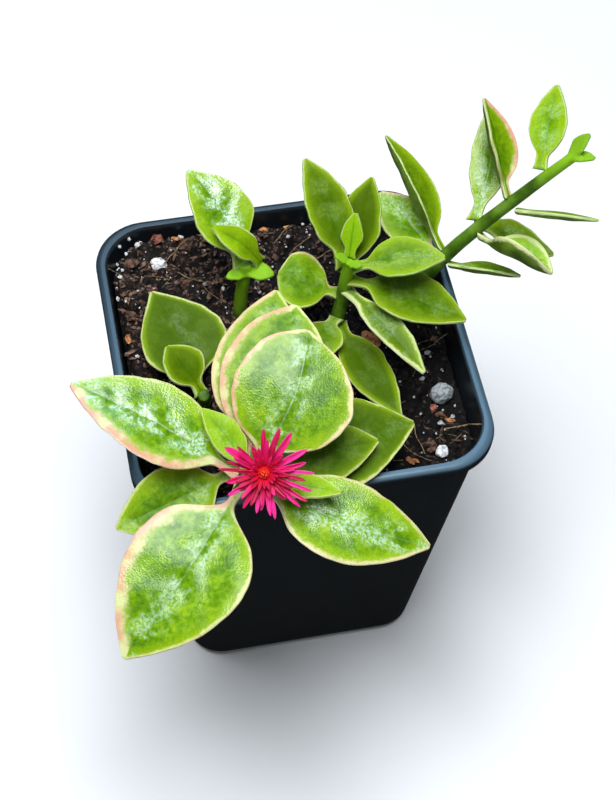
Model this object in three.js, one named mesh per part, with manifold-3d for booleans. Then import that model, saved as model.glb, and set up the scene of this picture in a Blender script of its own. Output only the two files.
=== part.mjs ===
// A heartleaf ice plant in a square moulded nursery pot.
// Millimetres, +Z up. The origin is the centre of the pot's base, on the surface that it stands on.
// +Y is the back of the pot, and the flowering shoot leans out over the front rim.

import * as THREE from 'three';
import { mergeVertices } from 'three/addons/utils/BufferGeometryUtils.js';
import Module from 'manifold-3d';

const wasm = await Module();
wasm.setup();

// Driving dimensions of the pot
const POT_HEIGHT = 75;
const RIM_WIDTH = 64;
const BASE_WIDTH = 46;
const WALL = 1;
const FLOOR = 1.4;
const RIM_CORNER = 9;
const BASE_CORNER = 7;
const BASE_EDGE = 2;
const LIP_OVERHANG = 1.2;
const LIP_HEIGHT = 3;
const LIP_ROUND = 0.6;
const LIP_SLOPE = 0.8;
const DRAIN_RADIUS = 3;
const DRAIN_OFFSET = 12;
const ARC_STEPS = 6;

// Clearance left where two pieces touch
const GAP = 0.3;

// Driving dimensions of the soil: its level and slope, its ripples, and the lumps half sunk in it
const SOIL_LEVEL = 69.5;
const SOIL_SLOPE_X = -0.06;
const SOIL_SLOPE_Y = 0.03;
const RIPPLES = [
  { height: 0.22, turnX: 0.45, turnY: 0.4, start: 1 },
  { height: 0.22, turnX: 0.45, turnY: -0.4, start: 1 },
  { height: 0.27, turnX: -0.3, turnY: 0.8, start: 0 },
];
const SOIL_BRIM_DROP = 3.2;
const SOIL_GRID = 10;
const SOIL_SEED = 21;
const LUMP_COUNT = 32;
const LUMP_MIN = 0.9;
const LUMP_MAX = 2.1;
const LUMP_SINK = 0.1;
const GRAIN_LIFT = 0.4;
const GRAIN_KNOB = 0.85;
const GRAIN_KNOB_SPREAD = 0.25;

// Driving dimensions of the leaves: a short flat stalk, then a fleshy blade with a blunt margin
const LEAF_SIDES = 10;
const LEAF_STEPS = 8;
const BUD_STEPS = 4;
const MARGIN_SINE = Math.sin(THREE.MathUtils.degToRad(72));
const PETIOLE_SHARE = 0.14;
const PETIOLE_HALF = 1.2;
const PETIOLE_THICKNESS = 1.4;
const BLADE_THICKNESS = 1.2;
const MARGIN_THICKNESS = 0.65;
const TIP_THINNING = 0.4;
const TIP_HALF = 0.35;
const FULL_WIDTH = 6;
const WIDEST_PLACE = 0.4;
const BASE_POWER = 0.6;
const TIP_POWER = 0.9;

// Driving dimensions of the stems
const STEM_SIDES = 8;
const STEM_STEPS = 10;

// Driving dimensions of the flower
const FLOWER_CENTRE = new THREE.Vector3(-11.1, -34.9, 88.1);
const FLOWER_AXIS = new THREE.Vector3(-0.13, -0.55, 0.83).normalize();
const PETAL_FOOT_SHARE = 0.65;
const PETAL_TIP_SHARE = 0.7;
const PETAL_THICKNESS = 0.6;
// Each petal's turn about the flower's axis in degrees, its length and width, and its rise in degrees
const OUTER_PETALS = [
  [80, 5.8, 0.8, 16],
  [60, 6.2, 0.95, 10],
  [44, 6.4, 1.2, 6],
  [18, 6.6, 1, 16],
  [2, 5.6, 0.8, 14],
  [350, 6.8, 0.6, 10],
  [340, 5.4, 0.6, 16],
  [328, 6.8, 0.6, 10],
  [315, 7, 0.65, 16],
  [306, 6.6, 0.6, 6],
  [299, 4, 1.3, 8],
  [274, 6.2, 0.75, 6],
  [268, 5.6, 0.75, 16],
  [256, 4.6, 0.65, 6],
  [248, 5.2, 0.7, 16],
  [228, 5.2, 0.8, 14],
  [202, 5.4, 0.8, 10],
  [184, 4.8, 1, 6],
  [164, 6, 0.6, 10],
  [152, 5, 0.6, 10],
  [135, 6.2, 1.3, 16],
  [125, 4.6, 0.65, 6],
  [104, 3.2, 0.9, 6],
];
const INNER_PETALS = [
  [136, 2.2, 0.8, 35],
  [104, 2.2, 0.7, 35],
  [58, 2.6, 0.8, 35],
  [26, 3, 0.8, 35],
  [346, 3, 0.7, 35],
  [306, 2.6, 0.9, 35],
  [266, 2, 0.8, 35],
  [218, 2, 0.8, 35],
  [174, 2, 0.8, 35],
];
const OUTER_ROW_HEIGHT = 0.4;
const INNER_ROW_HEIGHT = 0.8;
const RING_INNER = 1.3;
const RING_OUTER = 2.1;
const RING_HEIGHT = 1.2;
const RING_SIDES = 17;
const CUP_RADIUS = 1.9;
const CUP_DEPTH = 4.2;
const CUP_FOOT = 0.9;
const CUP_BRIM = 0.8;
const SEPAL = { rise: -12, roll: 0, width: 2.4, arch: 0.3, fold: 15 };
const SEPALS = [
  { heading: 20, length: 6 },
  { heading: 110, length: 4 },
  { heading: 200, length: 6 },
  { heading: 290, length: 4 },
];
const STAMEN_COUNT = 14;
const STAMEN_DOME = 1.5;
const STAMEN_FOOT = 0.5;
const STAMEN_HEIGHT = 2;
const STAMEN_HEIGHT_SPREAD = 0.4;
const STAMEN_RADIUS = 0.3;
const STAMEN_LEAN = 0.35;
const STAMEN_SEED = 9;
const GOLDEN_ANGLE = 2.4;

const LEAF_GREENS = [0x86bb2a, 0x7cb02a, 0x7c8f2c];
const STEM_GREEN = 0x6f9a22;
const POT_BLACK = 0x1e2327;
const SOIL_BROWN = 0x33251c;
const PERLITE = 0xe4e4e6;
const BARK = 0xa5602a;
const PETAL_PINK = 0xe0187a;
const STAMEN_RED = 0xe8401c;

// The shoots. A stem is a curve through its points, with its radius at the foot and at the top.
// A leaf stands at a place along the stem, and heading and rise aim the line from its foot to its tip,
// in degrees, with heading 0 along +X. Roll turns the leaf about that line. Fold is the half angle of
// its trough, arch is how far its middle stands off the line, and sway is how far it bows sideways.
// A taper under 1 makes a rounder tip, and stand is the foot's heading where it isn't the leaf's own.
// Buds are the small leaves at the growing tip, which are one piece with the stem.
const SHOOTS = [
  {
    name: 'a',
    points: [
      [-12.5, -12, 58], [-13, -13.5, 70.5], [-14, -20, 75],
      [-14, -26, 77.3], [-13.5, -30.5, 80], [-10.75, -32, 83.85],
    ],
    radius: [1.6, 1.2],
    leaves: [
      { at: 0.79, heading: 146, rise: 16, roll: 0, length: 31, width: 15, arch: 1.5, fold: 15, sway: 0.3 },
      { at: 0.81, heading: -136, rise: -18, roll: 0, length: 34, width: 21.5, arch: 3, fold: 15, sway: -1.6 },
      { at: 0.83, heading: -27, rise: -11, roll: 8, length: 31, width: 15, arch: 2, fold: 15, sway: 2 },
      {
        at: 0.84, heading: 54, rise: 28, roll: 0, length: 25, width: 21,
        arch: 2, fold: 15, sway: 2.8, taper: 0.7,
      },
      {
        at: 0.72, heading: 61, rise: 24, roll: 0, length: 28.5, width: 18,
        arch: 2, fold: 10, sway: 0.3, taper: 0.75,
      },
      { at: 0.63, heading: 68, rise: 22, roll: 0, length: 29.5, width: 16, arch: 2, fold: 10 },
      { at: 0.69, heading: 3, rise: 3, roll: 18, length: 22.5, width: 12, arch: 1, fold: 10 },
      { at: 0.56, heading: 4, rise: 0, roll: 12, length: 30, width: 17.5, arch: 1, fold: 5, sway: 1 },
      { at: 0.91, heading: -26, rise: 12, roll: 0, length: 13.5, width: 5.5, arch: 0.5, fold: 20 },
      { at: 0.89, heading: 121, rise: 22, roll: 0, length: 12.3, width: 6, arch: 1, fold: 30 },
      { at: 0.66, heading: -163, rise: -5, roll: -28, length: 21, width: 12, arch: 1.5, fold: 10 },
    ],
    buds: [],
  },
  {
    name: 'b',
    points: [[-7.5, 10.3, 58], [-7.2, 10.5, 71], [-6.9, 10.8, 76], [-6.3, 11, 80.5], [-6, 11.2, 84]],
    radius: [1.5, 1.1],
    leaves: [
      { at: 0.88, heading: 114, rise: 32, roll: 0, length: 19, width: 11.5, arch: 1, fold: 15, sway: 1.5 },
      { at: 1, stand: 20, heading: 148, rise: 32, roll: -25, length: 10, width: 5.5, arch: 2.8, fold: 45 },
    ],
    buds: [
      { at: 0.8, heading: -160, rise: 20, roll: 0, length: 4, width: 3, arch: 0.3, fold: 30 },
      { at: 0.85, heading: -14, rise: -4, roll: 0, length: 5.3, width: 4.5, arch: 0.5, fold: 20 },
    ],
  },
  {
    name: 'c',
    points: [[9, 4.2, 57], [9.5, 4.5, 69.5], [10.2, 4.9, 76], [11, 5.2, 83], [11.5, 5.4, 88]],
    radius: [1.7, 1.1],
    leaves: [
      { at: 0.88, heading: 106, rise: 40, roll: 0, length: 19.5, width: 8.5, arch: 1, fold: 20, sway: 0.7 },
      { at: 0.78, heading: 62, rise: 38, roll: 0, length: 17, width: 8, arch: 1, fold: 20 },
      { at: 0.99, heading: 68, rise: 55, roll: 0, length: 7.5, width: 4, arch: 0.3, fold: 30 },
      { at: 0.95, heading: -12, rise: 12, roll: 0, length: 15.5, width: 9, arch: 1, fold: 20 },
      {
        at: 0.62, heading: 158, rise: 14, roll: 0, length: 10.5, width: 12,
        arch: 1, fold: 15, sway: -1, taper: 0.5,
      },
      { at: 0.78, heading: -30, rise: -6, roll: 0, length: 21, width: 11, arch: 1, fold: 15 },
      { at: 0.68, heading: -62, rise: -5, roll: 0, length: 20.5, width: 6, arch: 1, fold: 40 },
      { at: 0.36, heading: -75, rise: 4, roll: 0, length: 23, width: 8.5, arch: 1, fold: 20, sway: 1 },
      { at: 0.42, heading: -125, rise: 10, roll: 0, length: 14, width: 8, arch: 1, fold: 15 },
    ],
    buds: [
      { at: 0.98, heading: 170, rise: 40, roll: 0, length: 3.5, width: 2.5, arch: 0.3, fold: 20 },
      { at: 0.98, heading: -60, rise: 30, roll: 0, length: 3.5, width: 2.5, arch: 0.3, fold: 20 },
    ],
  },
  {
    name: 'd',
    points: [
      [21, 8.5, 56], [23.7, 8.7, 68.5], [27, 8.8, 76], [29.9, 8.8, 81],
      [35.7, 9, 88], [40.8, 8.7, 94], [46.2, 8.5, 100], [50.9, 8.3, 105],
    ],
    radius: [1.6, 1],
    leaves: [
      { at: 0.44, heading: 107, rise: 24, roll: 45, length: 23, width: 11, arch: 0, fold: 60 },
      { at: 0.4, heading: 116, rise: 8, roll: 0, length: 16, width: 10, arch: 0.5, fold: 10 },
      { at: 0.43, heading: -25, rise: 4, roll: -38, length: 12.5, width: 7, arch: 0, fold: 30 },
      { at: 0.58, heading: 71, rise: 30, roll: -10, length: 20, width: 7.5, arch: 0, fold: 20, sway: 1.5 },
      { at: 0.565, heading: -47, rise: 3, roll: -40, length: 14.5, width: 12.5, arch: 0, fold: 65 },
      { at: 0.72, heading: 95, rise: 32, roll: 45, length: 17.5, width: 10, arch: 0, fold: 50 },
      { at: 0.72, heading: -23, rise: 5, roll: -45, length: 14, width: 6, arch: 0, fold: 15 },
      { at: 0.56, stand: 60, heading: -10, rise: -30, roll: 0, length: 17, width: 8, arch: 0, fold: 20 },
      { at: 0.87, heading: 66, rise: 42, roll: -20, length: 14, width: 7, arch: 0, fold: 20 },
    ],
    buds: [
      { at: 0.98, heading: 10, rise: 60, roll: 0, length: 6, width: 3.5, arch: 0.3, fold: 30 },
      { at: 0.98, heading: -40, rise: 30, roll: 0, length: 5, width: 3, arch: 0.3, fold: 30 },
    ],
  },
  {
    name: 'e',
    points: [[-17, -7, 60], [-17, -8, 70.5], [-17, -9, 73.5], [-17.2, -10, 76]],
    radius: [1.4, 1.1],
    leaves: [
      {
        at: 0.55, heading: 106, rise: 14, roll: 0, length: 21, width: 15.5,
        arch: 1.5, fold: 15, sway: 1, taper: 1.1,
      },
      { at: 0.9, heading: 120, rise: 22, roll: 0, length: 9.5, width: 8, arch: 1, fold: 30 },
    ],
    buds: [],
  },
];

// Loose grains on the soil: white perlite, and one chip of bark, each with its half sizes
const GRAINS = [
  { name: 'perlite_1', x: 25.7, y: -12, size: [2.3, 2, 1.7], turn: 20, color: PERLITE },
  { name: 'perlite_2', x: -20.5, y: 23.3, size: [1.8, 1.3, 1.1], turn: -15, color: PERLITE },
  { name: 'perlite_3', x: 23, y: -23.8, size: [1.3, 1.2, 1], turn: 50, color: PERLITE },
  { name: 'bark_chip', x: 15.6, y: 1.6, size: [2.4, 1.3, 0.8], turn: -60, color: BARK },
];

// A seeded draw, so that what is scattered falls the same way each time
function seededRandom(seed) {
  let state = seed;
  return () => {
    state = (state * 16807) % 2147483647;
    return state / 2147483647;
  };
}

// A closed mesh with its shared vertices merged
function weld(geometry) {
  geometry.deleteAttribute('normal');
  geometry.deleteAttribute('uv');
  return mergeVertices(geometry, 1e-3);
}

function toSolid(geometry) {
  const welded = weld(geometry);
  return new wasm.Manifold(new wasm.Mesh({
    numProp: 3,
    vertProperties: welded.attributes.position.array,
    triVerts: new Uint32Array(welded.index.array),
  }));
}

function toGeometry(solid) {
  const { vertProperties, triVerts } = solid.getMesh();
  const geometry = new THREE.BufferGeometry();
  geometry.setAttribute('position', new THREE.BufferAttribute(vertProperties, 3));
  geometry.setIndex(new THREE.BufferAttribute(triVerts, 1));
  return geometry;
}

// Moves every vertex of a geometry to where place(x, y, z) puts it
function reshape(geometry, place) {
  const position = geometry.attributes.position;
  for (let i = 0; i < position.count; i++) {
    position.setXYZ(i, ...place(position.getX(i), position.getY(i), position.getZ(i)));
  }
  return weld(geometry);
}

// The pot

function potHalf(z) {
  return THREE.MathUtils.lerp(BASE_WIDTH, RIM_WIDTH - 2 * LIP_OVERHANG, z / POT_HEIGHT) / 2;
}

function potCorner(z) {
  return THREE.MathUtils.lerp(BASE_CORNER, RIM_CORNER, z / POT_HEIGHT);
}

// A point of the rounded square outline, by its step round the outline
function outlinePoint(half, corner, step) {
  const quarter = Math.floor(step / (ARC_STEPS + 1));
  const angle = (quarter + (step % (ARC_STEPS + 1)) / ARC_STEPS) * Math.PI / 2;
  const centreAngle = (quarter + 0.5) * Math.PI / 2;
  const reach = (half - corner) * Math.SQRT2;
  return [
    reach * Math.cos(centreAngle) + corner * Math.cos(angle),
    reach * Math.sin(centreAngle) + corner * Math.sin(angle),
  ];
}

// The pot's section from the middle of its underside, up the outside, over the lip and down to its floor
function potProfile() {
  const lipFoot = POT_HEIGHT - LIP_HEIGHT;
  const lipHalf = RIM_WIDTH / 2;
  const inner = potHalf(POT_HEIGHT) - WALL;
  const edge = BASE_EDGE * (1 - Math.SQRT1_2);
  return [
    [0, 0],
    [potHalf(0) - BASE_EDGE, 0],
    [potHalf(0) - edge, edge],
    [potHalf(BASE_EDGE), BASE_EDGE],
    [potHalf(lipFoot), lipFoot],
    [lipHalf, lipFoot + LIP_SLOPE],
    [lipHalf, POT_HEIGHT - LIP_ROUND],
    [lipHalf - LIP_ROUND, POT_HEIGHT],
    [inner + LIP_ROUND, POT_HEIGHT],
    [inner, POT_HEIGHT - LIP_ROUND],
    [potHalf(FLOOR + BASE_EDGE) - WALL, FLOOR + BASE_EDGE],
    [potHalf(FLOOR) - WALL - BASE_EDGE, FLOOR],
    [0, FLOOR],
  ].map(([half, z]) => new THREE.Vector2(half, z));
}

function makePot() {
  const sections = 4 * (ARC_STEPS + 1);
  const turned = new THREE.LatheGeometry(potProfile(), sections);
  turned.rotateX(Math.PI / 2);
  const shell = reshape(turned, (x, y, z) => {
    const half = Math.hypot(x, y);
    if (half < 1e-6) {
      return [0, 0, z];
    }
    const turn = (Math.atan2(y, x) / (2 * Math.PI) + 1) % 1;
    const corner = Math.max(potCorner(z) - (potHalf(z) - half), 1);
    return [...outlinePoint(half, corner, Math.round(turn * sections) % sections), z];
  });
  let pot = toSolid(shell);
  for (const [sideX, sideY] of [[1, 1], [-1, 1], [-1, -1], [1, -1]]) {
    const hole = new THREE.CylinderGeometry(DRAIN_RADIUS, DRAIN_RADIUS, 3 * FLOOR, 16);
    hole.rotateX(Math.PI / 2);
    hole.translate(sideX * DRAIN_OFFSET, sideY * DRAIN_OFFSET, FLOOR / 2);
    pot = pot.subtract(toSolid(hole));
  }
  return toGeometry(pot);
}

// Leaves

// Half the blade's width along the leaf: a narrow stalk, then an egg shape that runs out to a point
function halfWidth(leaf, t) {
  const place = Math.max(t - PETIOLE_SHARE, 0) / (1 - PETIOLE_SHARE);
  const swell = (place / WIDEST_PLACE) ** BASE_POWER;
  const taper = ((1 - place) / (1 - WIDEST_PLACE)) ** (leaf.taper ?? TIP_POWER);
  const stalk = t < 0.5 ? Math.min(PETIOLE_HALF, leaf.width / 4) : TIP_HALF;
  return Math.max(leaf.width / 2 * swell * taper, stalk);
}

function leafAxes(leaf) {
  const heading = THREE.MathUtils.degToRad(leaf.heading);
  const rise = THREE.MathUtils.degToRad(leaf.rise);
  const along = new THREE.Vector3(
    Math.cos(rise) * Math.cos(heading),
    Math.cos(rise) * Math.sin(heading),
    Math.sin(rise),
  );
  const face = new THREE.Vector3(
    -Math.sin(rise) * Math.cos(heading),
    -Math.sin(rise) * Math.sin(heading),
    Math.cos(rise),
  );
  face.applyAxisAngle(along, THREE.MathUtils.degToRad(leaf.roll));
  return { along, face };
}

// One closed leaf from its foot: a lens-shaped section, curled round its midrib, swept along an arched midrib
function leafGeometry(leaf, foot, steps = LEAF_STEPS) {
  const { along, face } = leafAxes(leaf);
  const tip = foot.clone().addScaledVector(along, leaf.length);
  const across = new THREE.Vector3().crossVectors(along, face);
  const middle = foot.clone().lerp(tip, 0.5);
  middle.addScaledVector(face, 2 * leaf.arch).addScaledVector(across, 2 * (leaf.sway ?? 0));
  const midrib = new THREE.QuadraticBezierCurve3(foot, middle, tip);
  const fold = THREE.MathUtils.degToRad(leaf.fold);
  const thin = Math.min(1, leaf.width / FULL_WIDTH);
  const tangent = new THREE.Vector3();
  const section = new THREE.CylinderGeometry(1, 1, 1, LEAF_SIDES, steps);
  return reshape(section, (x, y, z) => {
    const t = y + 0.5;
    const side = x / MARGIN_SINE;
    const layer = Math.abs(z) < 1e-6 ? 0 : Math.sign(z);
    const half = halfWidth(leaf, t);
    const middleThickness = THREE.MathUtils.lerp(PETIOLE_THICKNESS, BLADE_THICKNESS, Math.min(t * 2, 1));
    const full = Math.max(middleThickness * thin * (1 - TIP_THINNING * t * t), MARGIN_THICKNESS);
    const thickness = MARGIN_THICKNESS + (full - MARGIN_THICKNESS) * (1 - side * side);
    const curl = fold * side;
    const width = half * Math.sin(curl) / fold - layer * thickness / 2 * Math.sin(curl);
    const height = half * (1 - Math.cos(curl)) / fold + layer * thickness / 2 * Math.cos(curl);
    midrib.getTangent(t, tangent);
    const upward = new THREE.Vector3().crossVectors(across, tangent).normalize();
    return midrib.getPoint(t).addScaledVector(across, width).addScaledVector(upward, height).toArray();
  });
}

// Stems

function stemCurve(shoot) {
  return new THREE.CatmullRomCurve3(shoot.points.map((point) => new THREE.Vector3(...point)));
}

function stemRadius(shoot, t) {
  return THREE.MathUtils.lerp(shoot.radius[0], shoot.radius[1], t);
}

// The stem with an added clearance round it: none for the stem itself, a gap for its hole in the soil
function stemGeometry(shoot, clearance) {
  const curve = stemCurve(shoot);
  const reference = new THREE.Vector3(1, 0, 0);
  const section = new THREE.CylinderGeometry(1, 1, 1, STEM_SIDES, STEM_STEPS);
  return reshape(section, (x, y, z) => {
    const t = y + 0.5;
    const tangent = curve.getTangent(t);
    const front = new THREE.Vector3().crossVectors(reference, tangent).normalize();
    const side = new THREE.Vector3().crossVectors(tangent, front);
    const radius = stemRadius(shoot, t) + clearance;
    const point = curve.getPoint(t).addScaledVector(side, x * radius).addScaledVector(front, z * radius);
    return (t === 0 ? point.addScaledVector(tangent, -clearance) : point).toArray();
  });
}

// The foot of a leaf, just off the stem's surface on the side that the leaf grows to
function leafFoot(shoot, leaf) {
  const curve = stemCurve(shoot);
  const { along, face } = leafAxes(leaf);
  const across = new THREE.Vector3().crossVectors(along, face);
  const tangent = curve.getTangent(leaf.at);
  const side = leafAxes({ ...leaf, heading: leaf.stand ?? leaf.heading }).along;
  const outward = side.addScaledVector(tangent, -side.dot(tangent)).normalize();
  const footDepth = PETIOLE_THICKNESS / 2 * Math.abs(face.dot(outward));
  const footBreadth = PETIOLE_HALF * Math.abs(across.dot(outward));
  const reach = stemRadius(shoot, leaf.at) + GAP + footDepth + footBreadth;
  return curve.getPoint(leaf.at).addScaledVector(outward, reach);
}

function makeStem(shoot) {
  let stem = toSolid(stemGeometry(shoot, 0));
  for (const bud of shoot.buds) {
    const root = stemCurve(shoot).getPoint(bud.at);
    stem = stem.add(toSolid(leafGeometry(bud, root, BUD_STEPS)));
  }
  return toGeometry(stem);
}

// Soil and grains

function soilHeight(x, y) {
  let level = SOIL_LEVEL + SOIL_SLOPE_X * x + SOIL_SLOPE_Y * y;
  for (const { height, turnX, turnY, start } of RIPPLES) {
    level += height * Math.sin(turnX * x + turnY * y + start);
  }
  return level;
}

// How far the rounded square reaches from its centre along the direction (x, y)
function outlineReach(half, corner, x, y) {
  const length = Math.hypot(x, y);
  const [dx, dy] = [Math.abs(x) / length, Math.abs(y) / length];
  const straight = half / Math.max(dx, dy);
  const inset = half - corner;
  if (Math.min(dx, dy) * straight <= inset) {
    return straight;
  }
  const centre = inset * (dx + dy);
  return centre + Math.sqrt(corner * corner - 2 * inset * inset + centre * centre);
}

// A knobbly grain half sunk in the soil, with an added clearance round it for its hollow
function grainGeometry(grain, clearance, seed) {
  const random = seededRandom(seed);
  const turn = THREE.MathUtils.degToRad(grain.turn);
  const knobs = new Map();
  return reshape(new THREE.IcosahedronGeometry(1, 1), (x, y, z) => {
    const key = [x, y, z].map((value) => value.toFixed(3)).join();
    if (!knobs.has(key)) {
      knobs.set(key, GRAIN_KNOB + GRAIN_KNOB_SPREAD * random());
    }
    const knob = knobs.get(key);
    const [u, v, w] = [x, y, z].map((value, i) => value * (grain.size[i] * knob + clearance));
    return [
      grain.x + u * Math.cos(turn) - v * Math.sin(turn),
      grain.y + u * Math.sin(turn) + v * Math.cos(turn),
      soilHeight(grain.x, grain.y) + GRAIN_LIFT * grain.size[2] + w,
    ];
  });
}

// The soil fills the pot: a square grid pulled to the pot's rounded square, with lumps,
// a hole for each stem and a hollow for each grain
function makeSoil() {
  const bottom = FLOOR + GAP;
  const brim = SOIL_LEVEL - SOIL_BRIM_DROP;
  const block = reshape(new THREE.BoxGeometry(2, 2, 1, SOIL_GRID, SOIL_GRID, 1), (a, b, c) => {
    const level = c > 0 ? brim : bottom;
    const inset = WALL + GAP + (c > 0 ? 0 : BASE_EDGE);
    const edge = Math.max(Math.abs(a), Math.abs(b));
    const half = potHalf(level) - inset;
    const corner = Math.max(potCorner(level) - inset, 1);
    const share = edge > 0 ? edge * outlineReach(half, corner, a, b) / Math.hypot(a, b) : 0;
    const [x, y] = [a * share, b * share];
    return [x, y, c > 0 ? soilHeight(x, y) : bottom];
  });
  let soil = toSolid(block);
  const random = seededRandom(SOIL_SEED);
  const extent = potHalf(brim) - WALL - GAP - LUMP_MAX;
  for (let i = 0; i < LUMP_COUNT; i++) {
    const [x, y] = [(2 * random() - 1) * extent, (2 * random() - 1) * extent];
    const size = THREE.MathUtils.lerp(LUMP_MIN, LUMP_MAX, random() ** 2);
    const lump = new THREE.IcosahedronGeometry(size, 0);
    lump.rotateX(Math.PI * random());
    lump.rotateZ(Math.PI * random());
    lump.translate(x, y, soilHeight(x, y) - LUMP_SINK * size);
    if (Math.abs(x) + Math.abs(y) < 2 * extent - RIM_CORNER / 2) {
      soil = soil.add(toSolid(lump));
    }
  }
  for (const shoot of SHOOTS) {
    soil = soil.subtract(toSolid(stemGeometry(shoot, GAP)));
  }
  GRAINS.forEach((grain, i) => {
    soil = soil.subtract(toSolid(grainGeometry(grain, GAP, i + 1)));
  });
  return toGeometry(soil);
}

// The flower, first built round +Z at the origin and then turned to face its axis

function faceFlower(geometry) {
  const turn = new THREE.Quaternion().setFromUnitVectors(new THREE.Vector3(0, 0, 1), FLOWER_AXIS);
  return geometry
    .applyMatrix4(new THREE.Matrix4().makeRotationFromQuaternion(turn))
    .translate(...FLOWER_CENTRE.toArray());
}

function turnedSolid(profile, sides) {
  const turned = new THREE.LatheGeometry(profile.map(([r, z]) => new THREE.Vector2(r, z)), sides);
  turned.rotateX(Math.PI / 2);
  return toSolid(turned);
}

// One strap-shaped petal out along +X, widest in its middle
function petalGeometry(length, width, rise, start, height) {
  const slope = THREE.MathUtils.degToRad(rise);
  return reshape(new THREE.CylinderGeometry(1, 1, 1, 6, 2), (x, y, z) => {
    const t = y + 0.5;
    const end = THREE.MathUtils.lerp(PETAL_FOOT_SHARE, PETAL_TIP_SHARE, t);
    const half = THREE.MathUtils.lerp(end, 1, 4 * t * (1 - t)) * width / 2;
    const layer = Math.abs(z) < 1e-6 ? 0 : Math.sign(z);
    const thickness = PETAL_THICKNESS * (Math.abs(x) > 0.5 ? 0.5 : 1);
    const reach = start + length * t;
    return [
      reach * Math.cos(slope) - layer * thickness / 2 * Math.sin(slope),
      -x / Math.sin(Math.PI / 3) * half,
      height + length * t * Math.sin(slope) + layer * thickness / 2 * Math.cos(slope),
    ];
  });
}

// Two rows of petals on one ring
function makePetals() {
  const section = [[RING_INNER, 0], [RING_OUTER, 0], [RING_OUTER, RING_HEIGHT], [RING_INNER, RING_HEIGHT]];
  let petals = turnedSolid([...section, section[0]], RING_SIDES);
  const middle = (RING_INNER + RING_OUTER) / 2;
  for (const [row, height] of [[OUTER_PETALS, OUTER_ROW_HEIGHT], [INNER_PETALS, INNER_ROW_HEIGHT]]) {
    for (const [turn, length, width, rise] of row) {
      const petal = petalGeometry(length, width, rise, middle, height);
      petal.rotateZ(THREE.MathUtils.degToRad(turn));
      petals = petals.add(toSolid(petal));
    }
  }
  return faceFlower(toGeometry(petals));
}

// Short stamens packed on a low dome inside the ring
function makeStamens() {
  const core = RING_INNER - GAP;
  let stamens = turnedSolid([
    [0, 0],
    [core, 0],
    [core, STAMEN_DOME * 0.5],
    [core * 0.6, STAMEN_DOME * 0.9],
    [0, STAMEN_DOME],
  ], 10);
  const random = seededRandom(STAMEN_SEED);
  for (let i = 0; i < STAMEN_COUNT; i++) {
    const spread = Math.sqrt((i + 0.5) / STAMEN_COUNT);
    const height = STAMEN_HEIGHT + STAMEN_HEIGHT_SPREAD * (random() - 0.5);
    const filament = new THREE.CylinderGeometry(STAMEN_RADIUS * 0.6, STAMEN_RADIUS, height, 4);
    filament.rotateX(Math.PI / 2);
    filament.translate(0, 0, STAMEN_FOOT + height / 2);
    filament.rotateY(STAMEN_LEAN * spread);
    filament.translate(0.6 * core * spread, 0, 0);
    filament.rotateZ(i * GOLDEN_ANGLE);
    stamens = stamens.add(toSolid(filament));
  }
  return faceFlower(toGeometry(stamens));
}

// The green cup under the petals, with its four sepals
function makeCup() {
  const top = -GAP;
  let cup = turnedSolid([
    [0, top - CUP_DEPTH],
    [CUP_FOOT, top - CUP_DEPTH],
    [CUP_RADIUS * 0.8, top - CUP_DEPTH * 0.6],
    [CUP_RADIUS, top - CUP_BRIM],
    [CUP_RADIUS, top],
    [0, top],
  ], 12);
  const root = new THREE.Vector3(0, 0, top - CUP_BRIM);
  for (const place of SEPALS) {
    cup = cup.add(toSolid(leafGeometry({ ...SEPAL, ...place }, root, BUD_STEPS)));
  }
  return faceFlower(toGeometry(cup));
}

// The whole plant in its pot

const plant = new THREE.Group();

function addPiece(name, geometry, color, roughness) {
  const mesh = new THREE.Mesh(geometry, new THREE.MeshStandardMaterial({ color, roughness, metalness: 0 }));
  mesh.name = name;
  plant.add(mesh);
}

addPiece('pot', makePot(), POT_BLACK, 0.35);
addPiece('soil', makeSoil(), SOIL_BROWN, 0.95);
GRAINS.forEach((grain, i) => addPiece(grain.name, grainGeometry(grain, 0, i + 1), grain.color, 0.9));
for (const shoot of SHOOTS) {
  addPiece(`stem_${shoot.name}`, makeStem(shoot), STEM_GREEN, 0.5);
  shoot.leaves.forEach((leaf, i) => {
    const color = LEAF_GREENS[i % LEAF_GREENS.length];
    addPiece(`leaf_${shoot.name}${i + 1}`, leafGeometry(leaf, leafFoot(shoot, leaf)), color, 0.4);
  });
}
addPiece('flower_cup', makeCup(), STEM_GREEN, 0.5);
addPiece('flower_petals', makePetals(), PETAL_PINK, 0.45);
addPiece('flower_stamens', makeStamens(), STAMEN_RED, 0.6);

export default plant;
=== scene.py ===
import functools
import math
import random

import bmesh
import bpy
import numpy as np
from mathutils import Matrix, Quaternion, Vector, noise
from mathutils.bvhtree import BVHTree


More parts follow.
